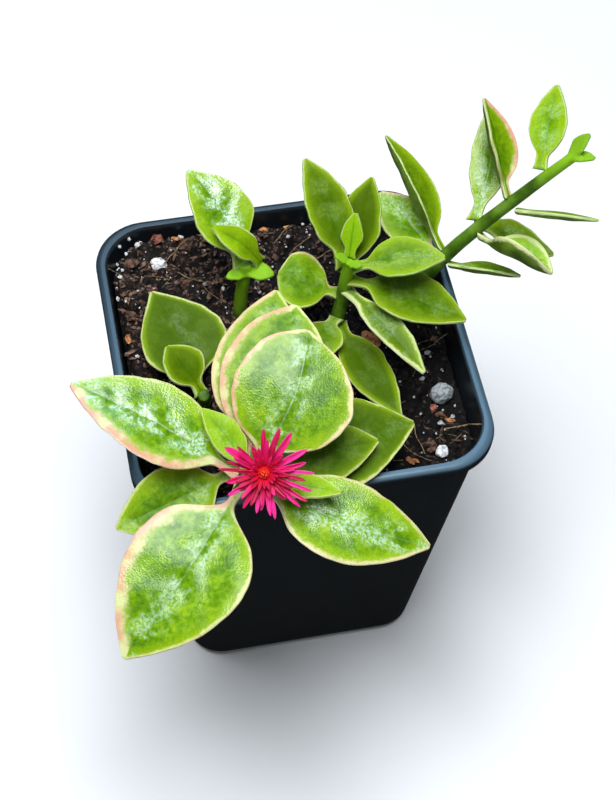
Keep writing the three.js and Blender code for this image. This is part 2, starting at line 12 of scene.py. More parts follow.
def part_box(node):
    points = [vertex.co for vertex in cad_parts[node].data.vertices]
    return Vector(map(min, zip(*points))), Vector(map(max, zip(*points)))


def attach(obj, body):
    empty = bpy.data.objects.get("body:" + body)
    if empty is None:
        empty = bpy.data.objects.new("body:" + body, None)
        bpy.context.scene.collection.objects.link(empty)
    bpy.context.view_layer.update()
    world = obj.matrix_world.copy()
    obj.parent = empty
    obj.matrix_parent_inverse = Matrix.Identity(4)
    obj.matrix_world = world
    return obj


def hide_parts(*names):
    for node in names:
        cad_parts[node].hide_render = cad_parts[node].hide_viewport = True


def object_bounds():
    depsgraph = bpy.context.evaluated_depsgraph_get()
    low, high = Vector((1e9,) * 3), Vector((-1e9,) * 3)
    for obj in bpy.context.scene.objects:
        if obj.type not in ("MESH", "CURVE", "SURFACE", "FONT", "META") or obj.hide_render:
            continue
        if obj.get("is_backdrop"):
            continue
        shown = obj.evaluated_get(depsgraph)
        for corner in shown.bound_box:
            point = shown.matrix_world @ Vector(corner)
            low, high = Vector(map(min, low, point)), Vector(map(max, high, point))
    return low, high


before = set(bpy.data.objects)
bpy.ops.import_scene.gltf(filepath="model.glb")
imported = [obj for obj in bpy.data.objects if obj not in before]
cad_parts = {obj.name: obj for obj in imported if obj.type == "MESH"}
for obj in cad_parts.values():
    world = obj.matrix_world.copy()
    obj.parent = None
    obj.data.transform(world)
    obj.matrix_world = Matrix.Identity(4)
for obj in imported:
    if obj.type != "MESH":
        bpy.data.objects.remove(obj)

cad_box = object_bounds()
MM = 0.001

# The view of the photograph: from above the front of the pot, a little from its left.
# The camera aims near the middle of the rim, and its lens is a longish one.
VIEW_AZIMUTH = -13.3
VIEW_ELEVATION = 55.8
VIEW_ROLL = 2.6
VIEW_DISTANCE = 323 * MM
VIEW_SIDE_STEP = 3.3 * MM
VIEW_DOWN_STEP = 10.9 * MM
RIM_HEIGHT = 75 * MM
LENS_MM = 81

azimuth = math.radians(VIEW_AZIMUTH)
elevation = math.radians(VIEW_ELEVATION)
towards_camera = Vector((
    math.sin(azimuth) * math.cos(elevation),
    -math.cos(azimuth) * math.cos(elevation),
    math.sin(elevation),
))
turn = Quaternion(towards_camera, math.radians(VIEW_ROLL)) @ (-towards_camera).to_track_quat("-Z", "Y")
place = Vector((0, 0, RIM_HEIGHT)) + towards_camera * VIEW_DISTANCE
place += turn @ Vector((VIEW_SIDE_STEP, -VIEW_DOWN_STEP, 0))
bpy.ops.object.camera_add(location=place, rotation=turn.to_euler())
camera = bpy.context.object
camera.data.lens = LENS_MM
camera.data.clip_start = 10 * MM
bpy.context.scene.camera = camera

# The studio: a pale floor under one broad softbox, nearly overhead, which is the main light and makes
# the glints on the leaves, and a dimmer blue-white one behind that the rim reflects. Sizes are in metres.
FLOOR_HEX = "f9f9f8"
FLOOR_SIZE = 6
FLOOR_LIT_RADIUS = 0.37
FLOOR_GLOW_RADIUS = 1.1
FLOOR_GLOW = 0.65
BACKDROP_HEX = "ffffff"
AMBIENT_HEX = "e6eef6"
AMBIENT_STRENGTH = 0.2
AMBIENT_GLOSS = 0.03
TOP_PLACE = (-0.06, -0.03, 0.72)
TOP_HEX = "f2f7ff"
TOP_POWER = 6.5
TOP_SIZE = 0.42
BACK_PLACE = (0.1, 0.62, 0.8)
BACK_HEX = "9cc6ea"
BACK_POWER = 4.5
BACK_SIZE = 0.55


def linear(colour):
    """An sRGB hex colour as linear red, green, blue and alpha."""
    channels = [int(colour[i:i + 2], 16) / 255 for i in (0, 2, 4)]
    return [c / 12.92 if c <= 0.04045 else ((c + 0.055) / 1.055) ** 2.4 for c in channels] + [1]


def set_input(made, name, value):
    """Fills an input of a node with a number or a colour, or links it to another node's output."""
    socket = made.inputs[name]
    if isinstance(value, bpy.types.NodeSocket):
        made.id_data.links.new(value, socket)
    elif isinstance(value, str):
        socket.default_value = linear(value)
    else:
        socket.default_value = value


def add_node(tree, kind, settings=None, out=0, **inputs):
    """Adds a node, sets it, fills the inputs named by label or number, and gives back one output."""
    made = tree.nodes.new("ShaderNode" + kind)
    for name, value in (settings or {}).items():
        setattr(made, name, value)
    for name, value in inputs.items():
        set_input(made, int(name[1:]) if name[1:].isdigit() else name.replace("_", " "), value)
    return made.outputs[out]


def new_material(name, **constants):
    """A material, add_node bound to its tree, and its surface shader with constant inputs set by label."""
    material = bpy.data.materials.new(name)
    material.use_nodes = True
    shader = material.node_tree.nodes["Principled BSDF"]
    for label, value in constants.items():
        set_input(shader, label.replace("_", " "), value)
    return material, functools.partial(add_node, material.node_tree), shader


def start_from(add_primitive, **settings):
    """Adds a primitive to shape, with nothing else selected."""
    bpy.ops.object.select_all(action="DESELECT")
    add_primitive(**settings)
    return bpy.context.object


def add_softbox(name, place, size, power, colour):
    """A square lamp that faces the rim of the pot."""
    bpy.ops.object.light_add(type="AREA", location=place)
    lamp = bpy.context.object
    lamp.name = name
    lamp.rotation_euler = (Vector(place) - Vector((0, 0, RIM_HEIGHT))).to_track_quat("Z", "Y").to_euler()
    lamp.data.size = size
    lamp.data.energy = power
    lamp.data.color = linear(colour)[:3]
    lamp.visible_camera = False
    return lamp


studio_floor = start_from(bpy.ops.mesh.primitive_plane_add, size=FLOOR_SIZE)
studio_floor.name = "studio_floor"
# Matt paper, made to glow beyond the softbox's reach, so that it is as pale there as round the pot.
paper, add, shader = new_material("matt paper backdrop", Base_Color=FLOOR_HEX, Roughness=0.9,
                                  Specular_IOR_Level=0, Emission_Color=FLOOR_HEX)
distance = add("VectorMath", {"operation": "LENGTH"}, out="Value", _0=add("TexCoord", out="Object"))
glow = add("MapRange", Value=distance, To_Max=FLOOR_GLOW,
           From_Min=FLOOR_LIT_RADIUS, From_Max=FLOOR_GLOW_RADIUS)
set_input(shader, "Emission Strength", glow)
studio_floor.data.materials.append(paper)
studio_floor.visible_glossy = False
studio_floor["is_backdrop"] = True

world = bpy.data.worlds.new("studio")
world.use_nodes = True
bpy.context.scene.world = world
add = functools.partial(add_node, world.node_tree)
seen_by_camera = add("LightPath", out="Is Camera Ray")
seen_by_gloss = add("LightPath", out="Is Glossy Ray")
ambient = add("Background", Color=AMBIENT_HEX, Strength=AMBIENT_STRENGTH)
dim = add("Background", Color=AMBIENT_HEX, Strength=AMBIENT_GLOSS)
white = add("Background", Color=BACKDROP_HEX, Strength=1.0)
around = add("MixShader", _0=seen_by_gloss, _1=ambient, _2=dim)
around = add("MixShader", _0=seen_by_camera, _1=around, _2=white)
set_input(world.node_tree.nodes["World Output"], "Surface", around)
bpy.context.scene.view_settings.view_transform = "Standard"

add_softbox("top_softbox", TOP_PLACE, TOP_SIZE, TOP_POWER, TOP_HEX)
back_softbox = add_softbox("back_softbox", BACK_PLACE, BACK_SIZE, BACK_POWER, BACK_HEX)
back_softbox.visible_diffuse = False

# The nursery pot: thin black polypropylene, injection-moulded in one piece, square with rounded corners.
# Its wall widens upwards and ends in a stiff lip, and its base has a drain hole near each corner.
POT_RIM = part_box("pot")[1]
POT_CORNER_SHARE = 0.3
CORNER_SEGMENTS = 14
DRAIN_RADIUS = 3 * MM
DRAIN_OFFSET = 12 * MM
DRAIN_SIDES = 32
DRILL_LENGTH = 8 * MM
SHARPEST_ROUND = math.radians(40)
# The heights of the band on the lip's crown that is scuffed and carries a painted reflection of the sky
SCUFF_AND_SHEEN_FROM, SCUFF_AND_SHEEN_FULL = RIM_HEIGHT - 0.9 * MM, RIM_HEIGHT - 0.1 * MM
# The wall's section from under the base over the lip to the floor: half widths and heights in millimetres
POT_OUTSIDE = [(21, 0), (22, 0.25), (22.7, 0.9), (23.2, 2), (30.45, 71.8)]
POT_LIP = [(30.7, 72), (31.6, 72.3), (31.95, 72.8), (32, 73.9), (31.85, 74.6), (31.4, 74.95),
           (30.9, 75), (30.4, 74.9), (30.15, 74.5), (30.1, 74)]
POT_INSIDE = [(22.3, 3.4), (21.5, 2), (20.3, 1.4)]
POT_BLACK_HEX = "12161a"
POT_WORN_HEX = "1b2227"
# The slate of the lip's crown: partly scuffing, partly a painted reflection of the sky
LIP_SCUFF_AND_SHEEN_HEX = "4a6676"
TIMES = {"operation": "MULTIPLY"}


def take_up(piece):
    """Makes a piece the only selected one."""
    bpy.ops.object.select_all(action="DESELECT")
    piece.select_set(True)
    bpy.context.view_layer.objects.active = piece


def start_edit(piece):
    """Opens a piece for editing."""
    take_up(piece)
    bpy.ops.object.mode_set(mode="EDIT")


def end_edit():
    """Closes the piece that is open for editing."""
    bpy.ops.object.mode_set(mode="OBJECT")


def modify(piece, kind, **settings):
    """Adds a modifier, sets it and applies it."""
    take_up(piece)
    modifier = piece.modifiers.new(kind.lower(), kind)
    for name, value in settings.items():
        setattr(modifier, name, value)
    bpy.ops.object.modifier_apply(modifier=modifier.name)


def finish_piece(piece, name, slot, *nodes):
    """Names a finished piece, fixes it to the one body, and hides the CAD nodes that it stands for."""
    piece.name = piece.data.name = name
    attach(piece, "root")
    if nodes:
        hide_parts(*nodes)


def moulded_plastic():
    """Injection-moulded polypropylene: near black and satin, its lip's crown scuffed and painted slate as a
    sky reflection, paler at the front as a painted highlight.
    """
    material, add, shader = new_material("black moulded polypropylene", IOR=1.49)
    at = add("TexCoord", out="Object")
    haze = add("TexNoise", Vector=at, Scale=1 / (9 * MM), Detail=4)
    # The mould's own grain is about 0.1 mm, and it is drawn at 0.5 mm so that it shows.
    skin = add("TexNoise", Vector=at, Scale=1 / (0.5 * MM), Detail=2)
    up = add("SeparateXYZ", out="Z", Vector=at)
    back = add("SeparateXYZ", out="Y", Vector=at)
    # Painted reflection and highlight: the crown of the lip is scuffed slate, paler towards the front as a
    # painted highlight.
    scuff_and_sheen = add("MapRange", Value=up, From_Min=SCUFF_AND_SHEEN_FROM, From_Max=SCUFF_AND_SHEEN_FULL)
    front = add("MapRange", Value=back, From_Min=POT_RIM.y, From_Max=-POT_RIM.y, To_Min=0.1)
    scuff_and_sheen = add("Math", TIMES, _0=scuff_and_sheen, _1=front)
    black = add("MixRGB", Fac=haze, Color1=POT_BLACK_HEX, Color2=POT_WORN_HEX)
    colour = add("MixRGB", Fac=scuff_and_sheen, Color1=black, Color2=LIP_SCUFF_AND_SHEEN_HEX)
    set_input(shader, "Base Color", colour)
    set_input(shader, "Roughness", add("MapRange", Value=haze, To_Min=0.28, To_Max=0.42))
    set_input(shader, "Normal", add("Bump", Height=skin, Strength=0.15, Distance=0.05 * MM))
    return material


half_before, height_before = POT_OUTSIDE[0]
nursery_pot = start_from(bpy.ops.mesh.primitive_plane_add, size=2 * half_before * MM,
                         location=(0, 0, height_before * MM))
start_edit(nursery_pot)
bpy.ops.mesh.select_all(action="SELECT")
bpy.ops.mesh.bevel(offset=POT_CORNER_SHARE * half_before * MM, segments=CORNER_SEGMENTS, affect="VERTICES")
for half, height in POT_OUTSIDE[1:] + POT_LIP + POT_INSIDE:
    rise = (0, 0, (height - height_before) * MM)
    bpy.ops.mesh.extrude_region_move(TRANSFORM_OT_translate={"value": rise})
    grow = half / half_before
    bpy.ops.transform.resize(value=(grow, grow, 1), center_override=(0, 0, 0))
    half_before, height_before = half, height
bpy.ops.mesh.select_all(action="SELECT")
bpy.ops.mesh.normals_make_consistent(inside=False)
end_edit()
for side_x in (-1, 1):
    for side_y in (-1, 1):
        drill = start_from(bpy.ops.mesh.primitive_cylinder_add,
                           radius=DRAIN_RADIUS, depth=DRILL_LENGTH, vertices=DRAIN_SIDES,
                           location=(side_x * DRAIN_OFFSET, side_y * DRAIN_OFFSET, 0))
        modify(nursery_pot, "BOOLEAN", operation="DIFFERENCE", object=drill)
        bpy.data.objects.remove(drill)
bpy.ops.object.transform_apply(location=True, rotation=True, scale=True)
bpy.ops.object.shade_smooth_by_angle(angle=SHARPEST_ROUND)
nursery_pot.data.materials.append(moulded_plastic())
finish_piece(nursery_pot, "nursery_pot", "pot", "pot")

# The soil: dark moist peat with fine bark, filled to a few millimetres below the lip and a little lower
# on the right. It is one crumbly body, brown on its crumbs, with painted shade that makes it nearly black in
# its pits and darker towards the right.
SOIL_GRID = 210
SOIL_LOW, SOIL_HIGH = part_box("soil")
SOIL_EDGE = SOIL_HIGH.x + 0.7 * MM
BED_GAP = 0.1 * MM
SOIL_CORNER = 8 * MM
SOIL_LEAST_LEVEL = SOIL_HIGH.z - 6.5 * MM
SOIL_FOOT_SHARE = 0.72
# The kinds of clods, from coarse to fine: their pattern, their size and their height in millimetres
CLODS = [("CLOUDS", 3.4, 1.5), ("VORONOI", 1.6, -1.5), ("VORONOI", 0.7, -0.7)]
# How high the soil is heaped against the wall at the left and the back, and where a painted shadow darkens it
# towards the right
HEAP_HEIGHT = 2.2 * MM
SHADOW_FROM, SHADOW_TO = -2 * MM, 15 * MM
BED_SHADOW = 0.92
# The near black of the painted shade in the soil's pits and of the painted shadow towards the right
PAINTED_SHADE_HEX = "050403"
PEAT_HEX = "1c120b"
PEAT_TOP_HEX = "6a4f40"


def mark_points(piece, label, values):
    """Gives each point of a piece a number under a label, for its material to read."""
    piece.data.attributes.new(label, "FLOAT", "POINT").data.foreach_set("value", np.float32(values))


def surface_of(mesh):
    """A mesh's surface, for finding heights on it."""
    return BVHTree.FromPolygons([v.co for v in mesh.vertices], [p.vertices for p in mesh.polygons])


def height_on(surface, x, y):
    """The height of a surface at a place, seen from above, or nothing where it lies deep in a hole."""
    hit = surface.ray_cast(Vector((x, y, RIM_HEIGHT)), Vector((0, 0, -1)))[0]
    return hit.z if hit and hit.z > SOIL_LEAST_LEVEL else None


def to_rounded_square(x, y, half, corner):
    """Moves a point of the square from -1 to 1 into a rounded square."""
    px, py = x * half, y * half
    flat = half - corner
    if abs(px) > flat and abs(py) > flat:
        across, up = (abs(px) - flat) / corner, (abs(py) - flat) / corner
        reach = max(across, up) / math.hypot(across, up)
        px = math.copysign(flat + corner * across * reach, px)
        py = math.copysign(flat + corner * up * reach, py)
    return px, py


def painted_shadow_share(add, at, most):
    """How dark the painted shadow makes the soil or its litter: not at all at the left, the most at the
    right.
    """
    across = add("SeparateXYZ", out="X", Vector=at)
    return add("MapRange", Value=across, From_Min=SHADOW_FROM, From_Max=SHADOW_TO, To_Max=most)


def peat():
    """Moist peat: brown and fibrous on its crumbs, with painted shade nearly black between them and a painted
    shadow to the right, and quite matt.
    """
    material, add, shader = new_material("moist peat", Roughness=0.85, Specular_IOR_Level=0.25)
    at = add("TexCoord", out="Object")
    raised = add("Attribute", {"attribute_name": "raised_mm"}, out="Fac")
    patches = add("TexNoise", Vector=at, Scale=1 / (1.1 * MM), Detail=5, Roughness=0.7)
    grit = add("TexNoise", Vector=at, Scale=1 / (0.35 * MM), Detail=3)
    # Painted shade: the lower a point lies between the crumbs, the nearer to black it is painted.
    lit = add("MapRange", Value=raised, From_Min=-0.5, From_Max=0.6)
    dusty = add("MapRange", Value=patches, From_Min=0.53, From_Max=0.62)
    dry = add("MixRGB", Fac=dusty, Color1=PEAT_HEX, Color2=PEAT_TOP_HEX)
    ground = add("MixRGB", Fac=lit, Color1=PAINTED_SHADE_HEX, Color2=dry)
    # Painted shadow, darkening the soil towards the right.
    shadow = painted_shadow_share(add, at, BED_SHADOW)
    set_input(shader, "Base Color", add("MixRGB", Fac=shadow, Color1=ground, Color2=PAINTED_SHADE_HEX))
    set_input(shader, "Normal", add("Bump", Height=grit, Strength=0.9, Distance=0.25 * MM))
    return material


cad_soil = surface_of(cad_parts["soil"].data)
soil_bed = start_from(bpy.ops.mesh.primitive_grid_add, x_subdivisions=SOIL_GRID, y_subdivisions=SOIL_GRID,
                      size=2)
# Beyond the CAD soil's edge and over a stem's hole, the bed keeps the level of the point before.
level = (SOIL_HIGH.z + SOIL_LEAST_LEVEL) / 2
for vertex in soil_bed.data.vertices:
    x, y = to_rounded_square(vertex.co.x, vertex.co.y, SOIL_EDGE - BED_GAP, SOIL_CORNER)
    level = height_on(cad_soil, x, y) or level
    vertex.co = (x, y, level + HEAP_HEIGHT * max(-x / SOIL_EDGE, y / SOIL_EDGE, 0) ** 4)
modify(soil_bed, "SMOOTH", factor=0.5, iterations=4)
smooth_levels = [v.co.z for v in soil_bed.data.vertices]
for kind, size, height in CLODS:
    clods = bpy.data.textures.new(f"{size} mm clods", kind)
    clods.noise_scale = size * MM
    modify(soil_bed, "DISPLACE", texture=clods, texture_coords="LOCAL", direction="Z",
           mid_level=0.5, strength=height * MM)
raised = [(v.co.z - z) / MM for v, z in zip(soil_bed.data.vertices, smooth_levels)]
mark_points(soil_bed, "raised_mm", raised)
start_edit(soil_bed)
bpy.ops.mesh.select_mode(type="EDGE")
bpy.ops.mesh.select_all(action="DESELECT")
bpy.ops.mesh.select_non_manifold()
bpy.ops.mesh.extrude_region_move()
bpy.ops.transform.resize(value=(SOIL_FOOT_SHARE, SOIL_FOOT_SHARE, 0), center_override=(0, 0, SOIL_LOW.z))
bpy.ops.mesh.edge_face_add()
end_edit()
bpy.ops.object.shade_smooth()
soil_bed.data.materials.append(peat())
finish_piece(soil_bed, "soil_bed", "soil", "soil")

# The litter on the soil: crumbs of peat, slivers and chips of bark, white perlite and tan root fibres.
# Each kind is modelled a few times and copied, first to its own places and then by a seeded draw.
LITTER_EDGE = SOIL_EDGE - 0.6 * MM
CRUMB_COUNT = 2000
SLIVER_COUNT = 450
BROWN_COUNT = 16
RED_COUNT = 2
ORANGE_COUNT = 14
BEAD_COUNT = 320
FIBRE_COUNT = 60
# How far a fibre strays to the side as it starts and then at each step, and how close a lump's knobs lie
FIBRE_STEPS = 8
FIBRE_DRIFT = 0.5
FIBRE_BEND = 0.35
KNOBS = 1.7
# Where single pieces lie, in millimetres: place, and size against the model's own.
BEADS = [(-25, 28.7, 1.4), (-23, 28.3, 1.3), (-27, 27.4, 1.1), (-26, 25.8, 1.2), (-27.6, 25.8, 1.1),
         (-28, 23.5, 1.5), (-27.3, 21.5, 1), (-27.9, 20, 1.4), (-28.7, 19.8, 1), (-28.8, 16.9, 1.4),
         (-27.6, 13.7, 1.2), (-23.8, 26.7, 1.7), (-15.4, 28.5, 1.8), (-12.5, 18, 1.3), (-9.4, 16.2, 1.3),
         (8.2, 29, 1.2), (4.5, 25, 1.1), (-2.8, 14.5, 1.2), (-27.3, 2, 1.3), (25, -3.5, 1.5),
         (23, -8.4, 1.6), (24, -18.7, 1.9), (26.6, -17.1, 1.3)]
RED_CHIPS = [(-19.9, 28.2, 0.85), (22.4, -18, 0.55), (-22, 17.5, 0.4), (-13, 9, 0.5)]
ORANGE_CHIPS = [(-28.3, 7, 0.8), (17.4, -24.9, 0.8), (0.6, 28.2, 0.7), (5.2, 28.5, 0.6), (-28.2, -18.6, 0.8),
                (-25.8, -20.1, 0.6), (-24, -18, 0.5)]
BROWN_CLUMPS = [(-25.5, 23.6, 1.2), (-14.7, 26.5, 1.3), (-16.1, 18.7, 1.1), (-27.2, 11.4, 1.1),
                (21.2, -22.5, 1.2), (24.9, -15.6, 0.8), (-11, 27, 1), (-5, 28, 0.9)]
FIBRES = [(-17.3, 25.4, 1), (-17.5, 20, 0.75), (-20.5, 21, 0.7), (-19.7, 20.2, 0.65), (27.2, -21.8, 0.95),
          (26, -21.5, 0.5), (23.5, -20.5, 0.5)]


def two_tone(name, dark, light, grain, depth, shadow=0):
    """Torn bark, peat, root or foam: matt, with its colour and its relief changing at one grain size, and
    darkened towards the right by a painted shadow.
    """
    material, add, shader = new_material(name, Roughness=0.85, Specular_IOR_Level=0.2)
    at = add("TexCoord", out="Object")
    pattern = add("TexNoise", Vector=at, Scale=1 / (grain * MM), Detail=4, Roughness=0.6)
    spread = add("MapRange", Value=pattern, From_Min=0.36, From_Max=0.64)
    colour = add("MixRGB", Fac=spread, Color1=dark, Color2=light)
    # Painted shadow, darkening the litter towards the right.
    shadow_share = painted_shadow_share(add, at, shadow)
    set_input(shader, "Base Color", add("MixRGB", Fac=shadow_share, Color1=colour, Color2=PAINTED_SHADE_HEX))
    set_input(shader, "Normal", add("Bump", Height=pattern, Strength=0.8, Distance=depth * MM))
    return material


def model_lump(seed, half_sizes, knobbly, detail=1):
    """An uneven lump: a ball with each point pushed in or out, stretched to half sizes in millimetres."""
    lump = start_from(bpy.ops.mesh.primitive_ico_sphere_add, subdivisions=detail, radius=1)
    for vertex in lump.data.vertices:
        push = 1 + knobbly * noise.noise(vertex.co * KNOBS + Vector((seed, 2 * seed, 0)))
        vertex.co = [c * push * half * MM for c, half in zip(vertex.co, half_sizes)]
    return lump


def model_fibre(seed, length, radius):
    """A thin root fibre: a four-sided strand that bends as it runs."""
    bends = random.Random(seed)
    fibre = start_from(bpy.ops.mesh.primitive_circle_add, vertices=4, radius=radius * MM, fill_type="NGON",
                       location=(-length / 2 * MM, 0, 0), rotation=(0, math.pi / 2, 0))
    bpy.ops.object.transform_apply(location=True, rotation=True)
    start_edit(fibre)
    bpy.ops.mesh.select_all(action="SELECT")
    drift = bends.uniform(-FIBRE_DRIFT, FIBRE_DRIFT)
    ahead = length * MM / FIBRE_STEPS
    for step in range(FIBRE_STEPS):
        drift += bends.uniform(-FIBRE_BEND, FIBRE_BEND)
        bpy.ops.mesh.extrude_region_move(TRANSFORM_OT_translate={"value": (ahead, drift * ahead, 0)})
    bpy.ops.mesh.select_all(action="SELECT")
    bpy.ops.mesh.normals_make_consistent(inside=False)
    end_edit()
    return fibre


def take_shape(model):
    """Takes a model's points and faces for copying, and removes the model."""
    shape = [v.co.copy() for v in model.data.vertices], [tuple(p.vertices) for p in model.data.polygons]
    bpy.data.objects.remove(model)
    return shape


def join_copies(name, points, faces):
    """One piece from the points and faces of many copies."""
    mesh = bpy.data.meshes.new(name)
    mesh.from_pydata(points, [], faces)
    piece = bpy.data.objects.new(name, mesh)
    bpy.context.collection.objects.link(piece)
    return piece


def strew(name, slot, material, models, places, count, seed, sink, sizes, tumble=0.3):
    """Lays copies of the models on the soil, at their own places and then by a seeded draw, as one piece.

    A copy sinks in by sink millimetres times its size, and lies up to tumble radians off level.
    """
    draw = random.Random(seed)
    shapes = [take_shape(model) for model in models]
    points, faces = [], []
    for number in range(len(places) + count):
        if number < len(places):
            x, y, size = places[number]
            x, y = x * MM, y * MM
        else:
            x, y = to_rounded_square(draw.uniform(-1, 1), draw.uniform(-1, 1), LITTER_EDGE, SOIL_CORNER)
            size = draw.uniform(*sizes)
        rest = Vector((x, y, (height_on(bed_surface, x, y) or SOIL_HIGH.z) - sink * size * MM))
        tilt = Matrix.Rotation(draw.uniform(-1, 1) * tumble, 3, "X")
        spin = Matrix.Rotation(draw.uniform(0, 2 * math.pi), 3, "Z") @ tilt
        shape, sides = shapes[number % len(shapes)]
        start = len(points)
        points += [rest + spin @ (co * size) for co in shape]
        faces += [tuple(start + i for i in side) for side in sides]
    piece = join_copies(name, points, faces)
    piece.data.materials.append(material)
    finish_piece(piece, name, slot)


bed_surface = surface_of(soil_bed.data)
# A litter's last colour number is how dark the painted shadow makes it at the right.
strew("peat_crumbs", "soil", two_tone("peat crumbs", "050302", "876a5a", 0.8, 0.1, 0.86),
      [model_lump(i, (0.8, 0.6, 0.45), 0.9) for i in range(5)],
      [], CRUMB_COUNT, seed=1, sink=0, sizes=(0.25, 0.85), tumble=3)
strew("bark_slivers", "bark", two_tone("bark slivers", "180f0a", "8c6e5c", 1.2, 0.1, 0.6),
      [model_lump(10 + i, (1.5, 0.4, 0.2), 0.8) for i in range(4)],
      [], SLIVER_COUNT, seed=2, sink=-0.2, sizes=(0.35, 0.95))
strew("brown_bark", "bark", two_tone("fibrous brown bark", "180e09", "745646", 0.7, 0.2),
      [model_lump(20 + i, (1.1, 0.9, 0.6), 1, 2) for i in range(3)],
      BROWN_CLUMPS, BROWN_COUNT, seed=3, sink=0, sizes=(0.4, 0.8))
strew("red_bark", "bark", two_tone("reddish bark", "5e2c26", "98604f", 0.8, 0.1),
      [model_lump(30 + i, (1.3, 1, 0.6), 0.9, 2) for i in range(2)],
      RED_CHIPS, RED_COUNT, seed=4, sink=-0.1, sizes=(0.3, 0.5))
strew("orange_bark", "bark", two_tone("orange bark", "7a4422", "c98d5a", 0.8, 0.1),
      [model_lump(35 + i, (1.3, 0.8, 0.45), 0.9, 2) for i in range(3)],
      ORANGE_CHIPS, ORANGE_COUNT, seed=5, sink=-0.2, sizes=(0.3, 0.7))
strew("perlite_beads", "perlite", two_tone("perlite beads", "a4a4a2", "f4f4f2", 0.3, 0.05, 0.3),
      [model_lump(40 + i, (0.36, 0.3, 0.26), 1) for i in range(5)],
      BEADS, BEAD_COUNT, seed=6, sink=-0.5, sizes=(0.2, 0.8), tumble=3)
strew("root_fibres", "soil", two_tone("dry root fibres", "5e4a34", "a58c66", 0.7, 0.02),
      [model_fibre(50 + i, 7, 0.12) for i in range(7)],
      FIBRES, FIBRE_COUNT, seed=7, sink=-0.5, sizes=(0.3, 1))

# The three large perlite grains, popped from volcanic glass, and the orange-brown chip of pine bark.
# They sit where the CAD grains sit, with a pitted or fibrous skin.
PERLITE_HEX = "f4f4f2"
PERLITE_PIT_SHADE_HEX = "a9abad"
# One grain lies in shade, and that shade is painted: its foam and pits are grey instead of white.
SHADED_PERLITE_HEX = "a3a9a9"
SHADED_PERLITE_PIT_HEX = "6f7676"
MERGE_REACH = 0.01 * MM
GRAIN_LEVELS = 3
POCK_SIZE = 1.1 * MM
POCK_DEPTH = 0.4 * MM


def refined_copy(node, levels=0):
    """A merged copy of a CAD node, with its faces divided and smoothed this many times."""
    piece = bpy.data.objects.new(node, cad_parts[node].data.copy())
    bpy.context.collection.objects.link(piece)
    piece.data.materials.clear()
    start_edit(piece)
    bpy.ops.mesh.select_all(action="SELECT")
    bpy.ops.mesh.remove_doubles(threshold=MERGE_REACH)
    end_edit()
    if levels:
        modify(piece, "SUBSURF", levels=levels, render_levels=levels)
    return piece


def expanded_perlite(name, foam, pit_shade):
    """Expanded perlite: chalky foam, with painted shade in the small pits between its bubbles."""
    material, add, shader = new_material(name, Roughness=0.9, Specular_IOR_Level=0.3)
    at = add("TexCoord", out="Object")
    bubbles = add("TexVoronoi", Vector=at, Scale=1 / (0.6 * MM))
    grain = add("TexNoise", Vector=at, Scale=1 / (0.25 * MM), Detail=3)
    # Painted shade, darker in the pits between the bubbles.
    pit_shade_share = add("MapRange", Value=bubbles, From_Min=0.45, From_Max=0.8)
    lumps = add("Math", {"operation": "SUBTRACT"}, _0=grain, _1=bubbles)
    set_input(shader, "Base Color", add("MixRGB", Fac=pit_shade_share, Color1=foam, Color2=pit_shade))
    set_input(shader, "Normal", add("Bump", Height=lumps, Strength=0.7, Distance=0.12 * MM))
    return material


pocks = bpy.data.textures.new("pocks", "VORONOI")
pocks.noise_scale = POCK_SIZE
white_perlite = expanded_perlite("expanded perlite", PERLITE_HEX, PERLITE_PIT_SHADE_HEX)
# The grey perlite is white perlite with painted shade.
shaded_perlite = expanded_perlite("perlite in painted shade", SHADED_PERLITE_HEX, SHADED_PERLITE_PIT_HEX)
pine_bark = two_tone("pine bark chip", "7a4422", "cf9460", 0.8, 0.15)
for node, kind, skin in (("perlite_1", "perlite", shaded_perlite), ("perlite_2", "perlite", white_perlite),
                         ("perlite_3", "perlite", white_perlite), ("bark_chip", "bark", pine_bark)):
    grain = refined_copy(node, GRAIN_LEVELS)
    modify(grain, "DISPLACE", texture=pocks, texture_coords="LOCAL", mid_level=0.3, strength=POCK_DEPTH)
    bpy.ops.object.shade_smooth()
    grain.data.materials.append(skin)
    finish_piece(grain, "rough_" + node, kind, node)

# The stems: fleshy green shoots that grow up out of the soil, roughly round and smooth-skinned.
# The small leaves at their growing tips are one with them.
STEM_VOXEL = 0.28 * MM
STEM_DEEP_HEX = "38540e"
STEM_GREEN_HEX = "537a18"
STEM_PALE_HEX = "7ea03c"
STEM_YOUNG_HEX = "8cc01e"
# The growing tips of three shoots, and how far from each its skin is still young, in millimetres
SHOOT_TIPS = {"b": ((-6, 11.2, 84), 13), "c": ((11.5, 5.4, 88), 7), "d": ((50.9, 8.3, 105), 8)}


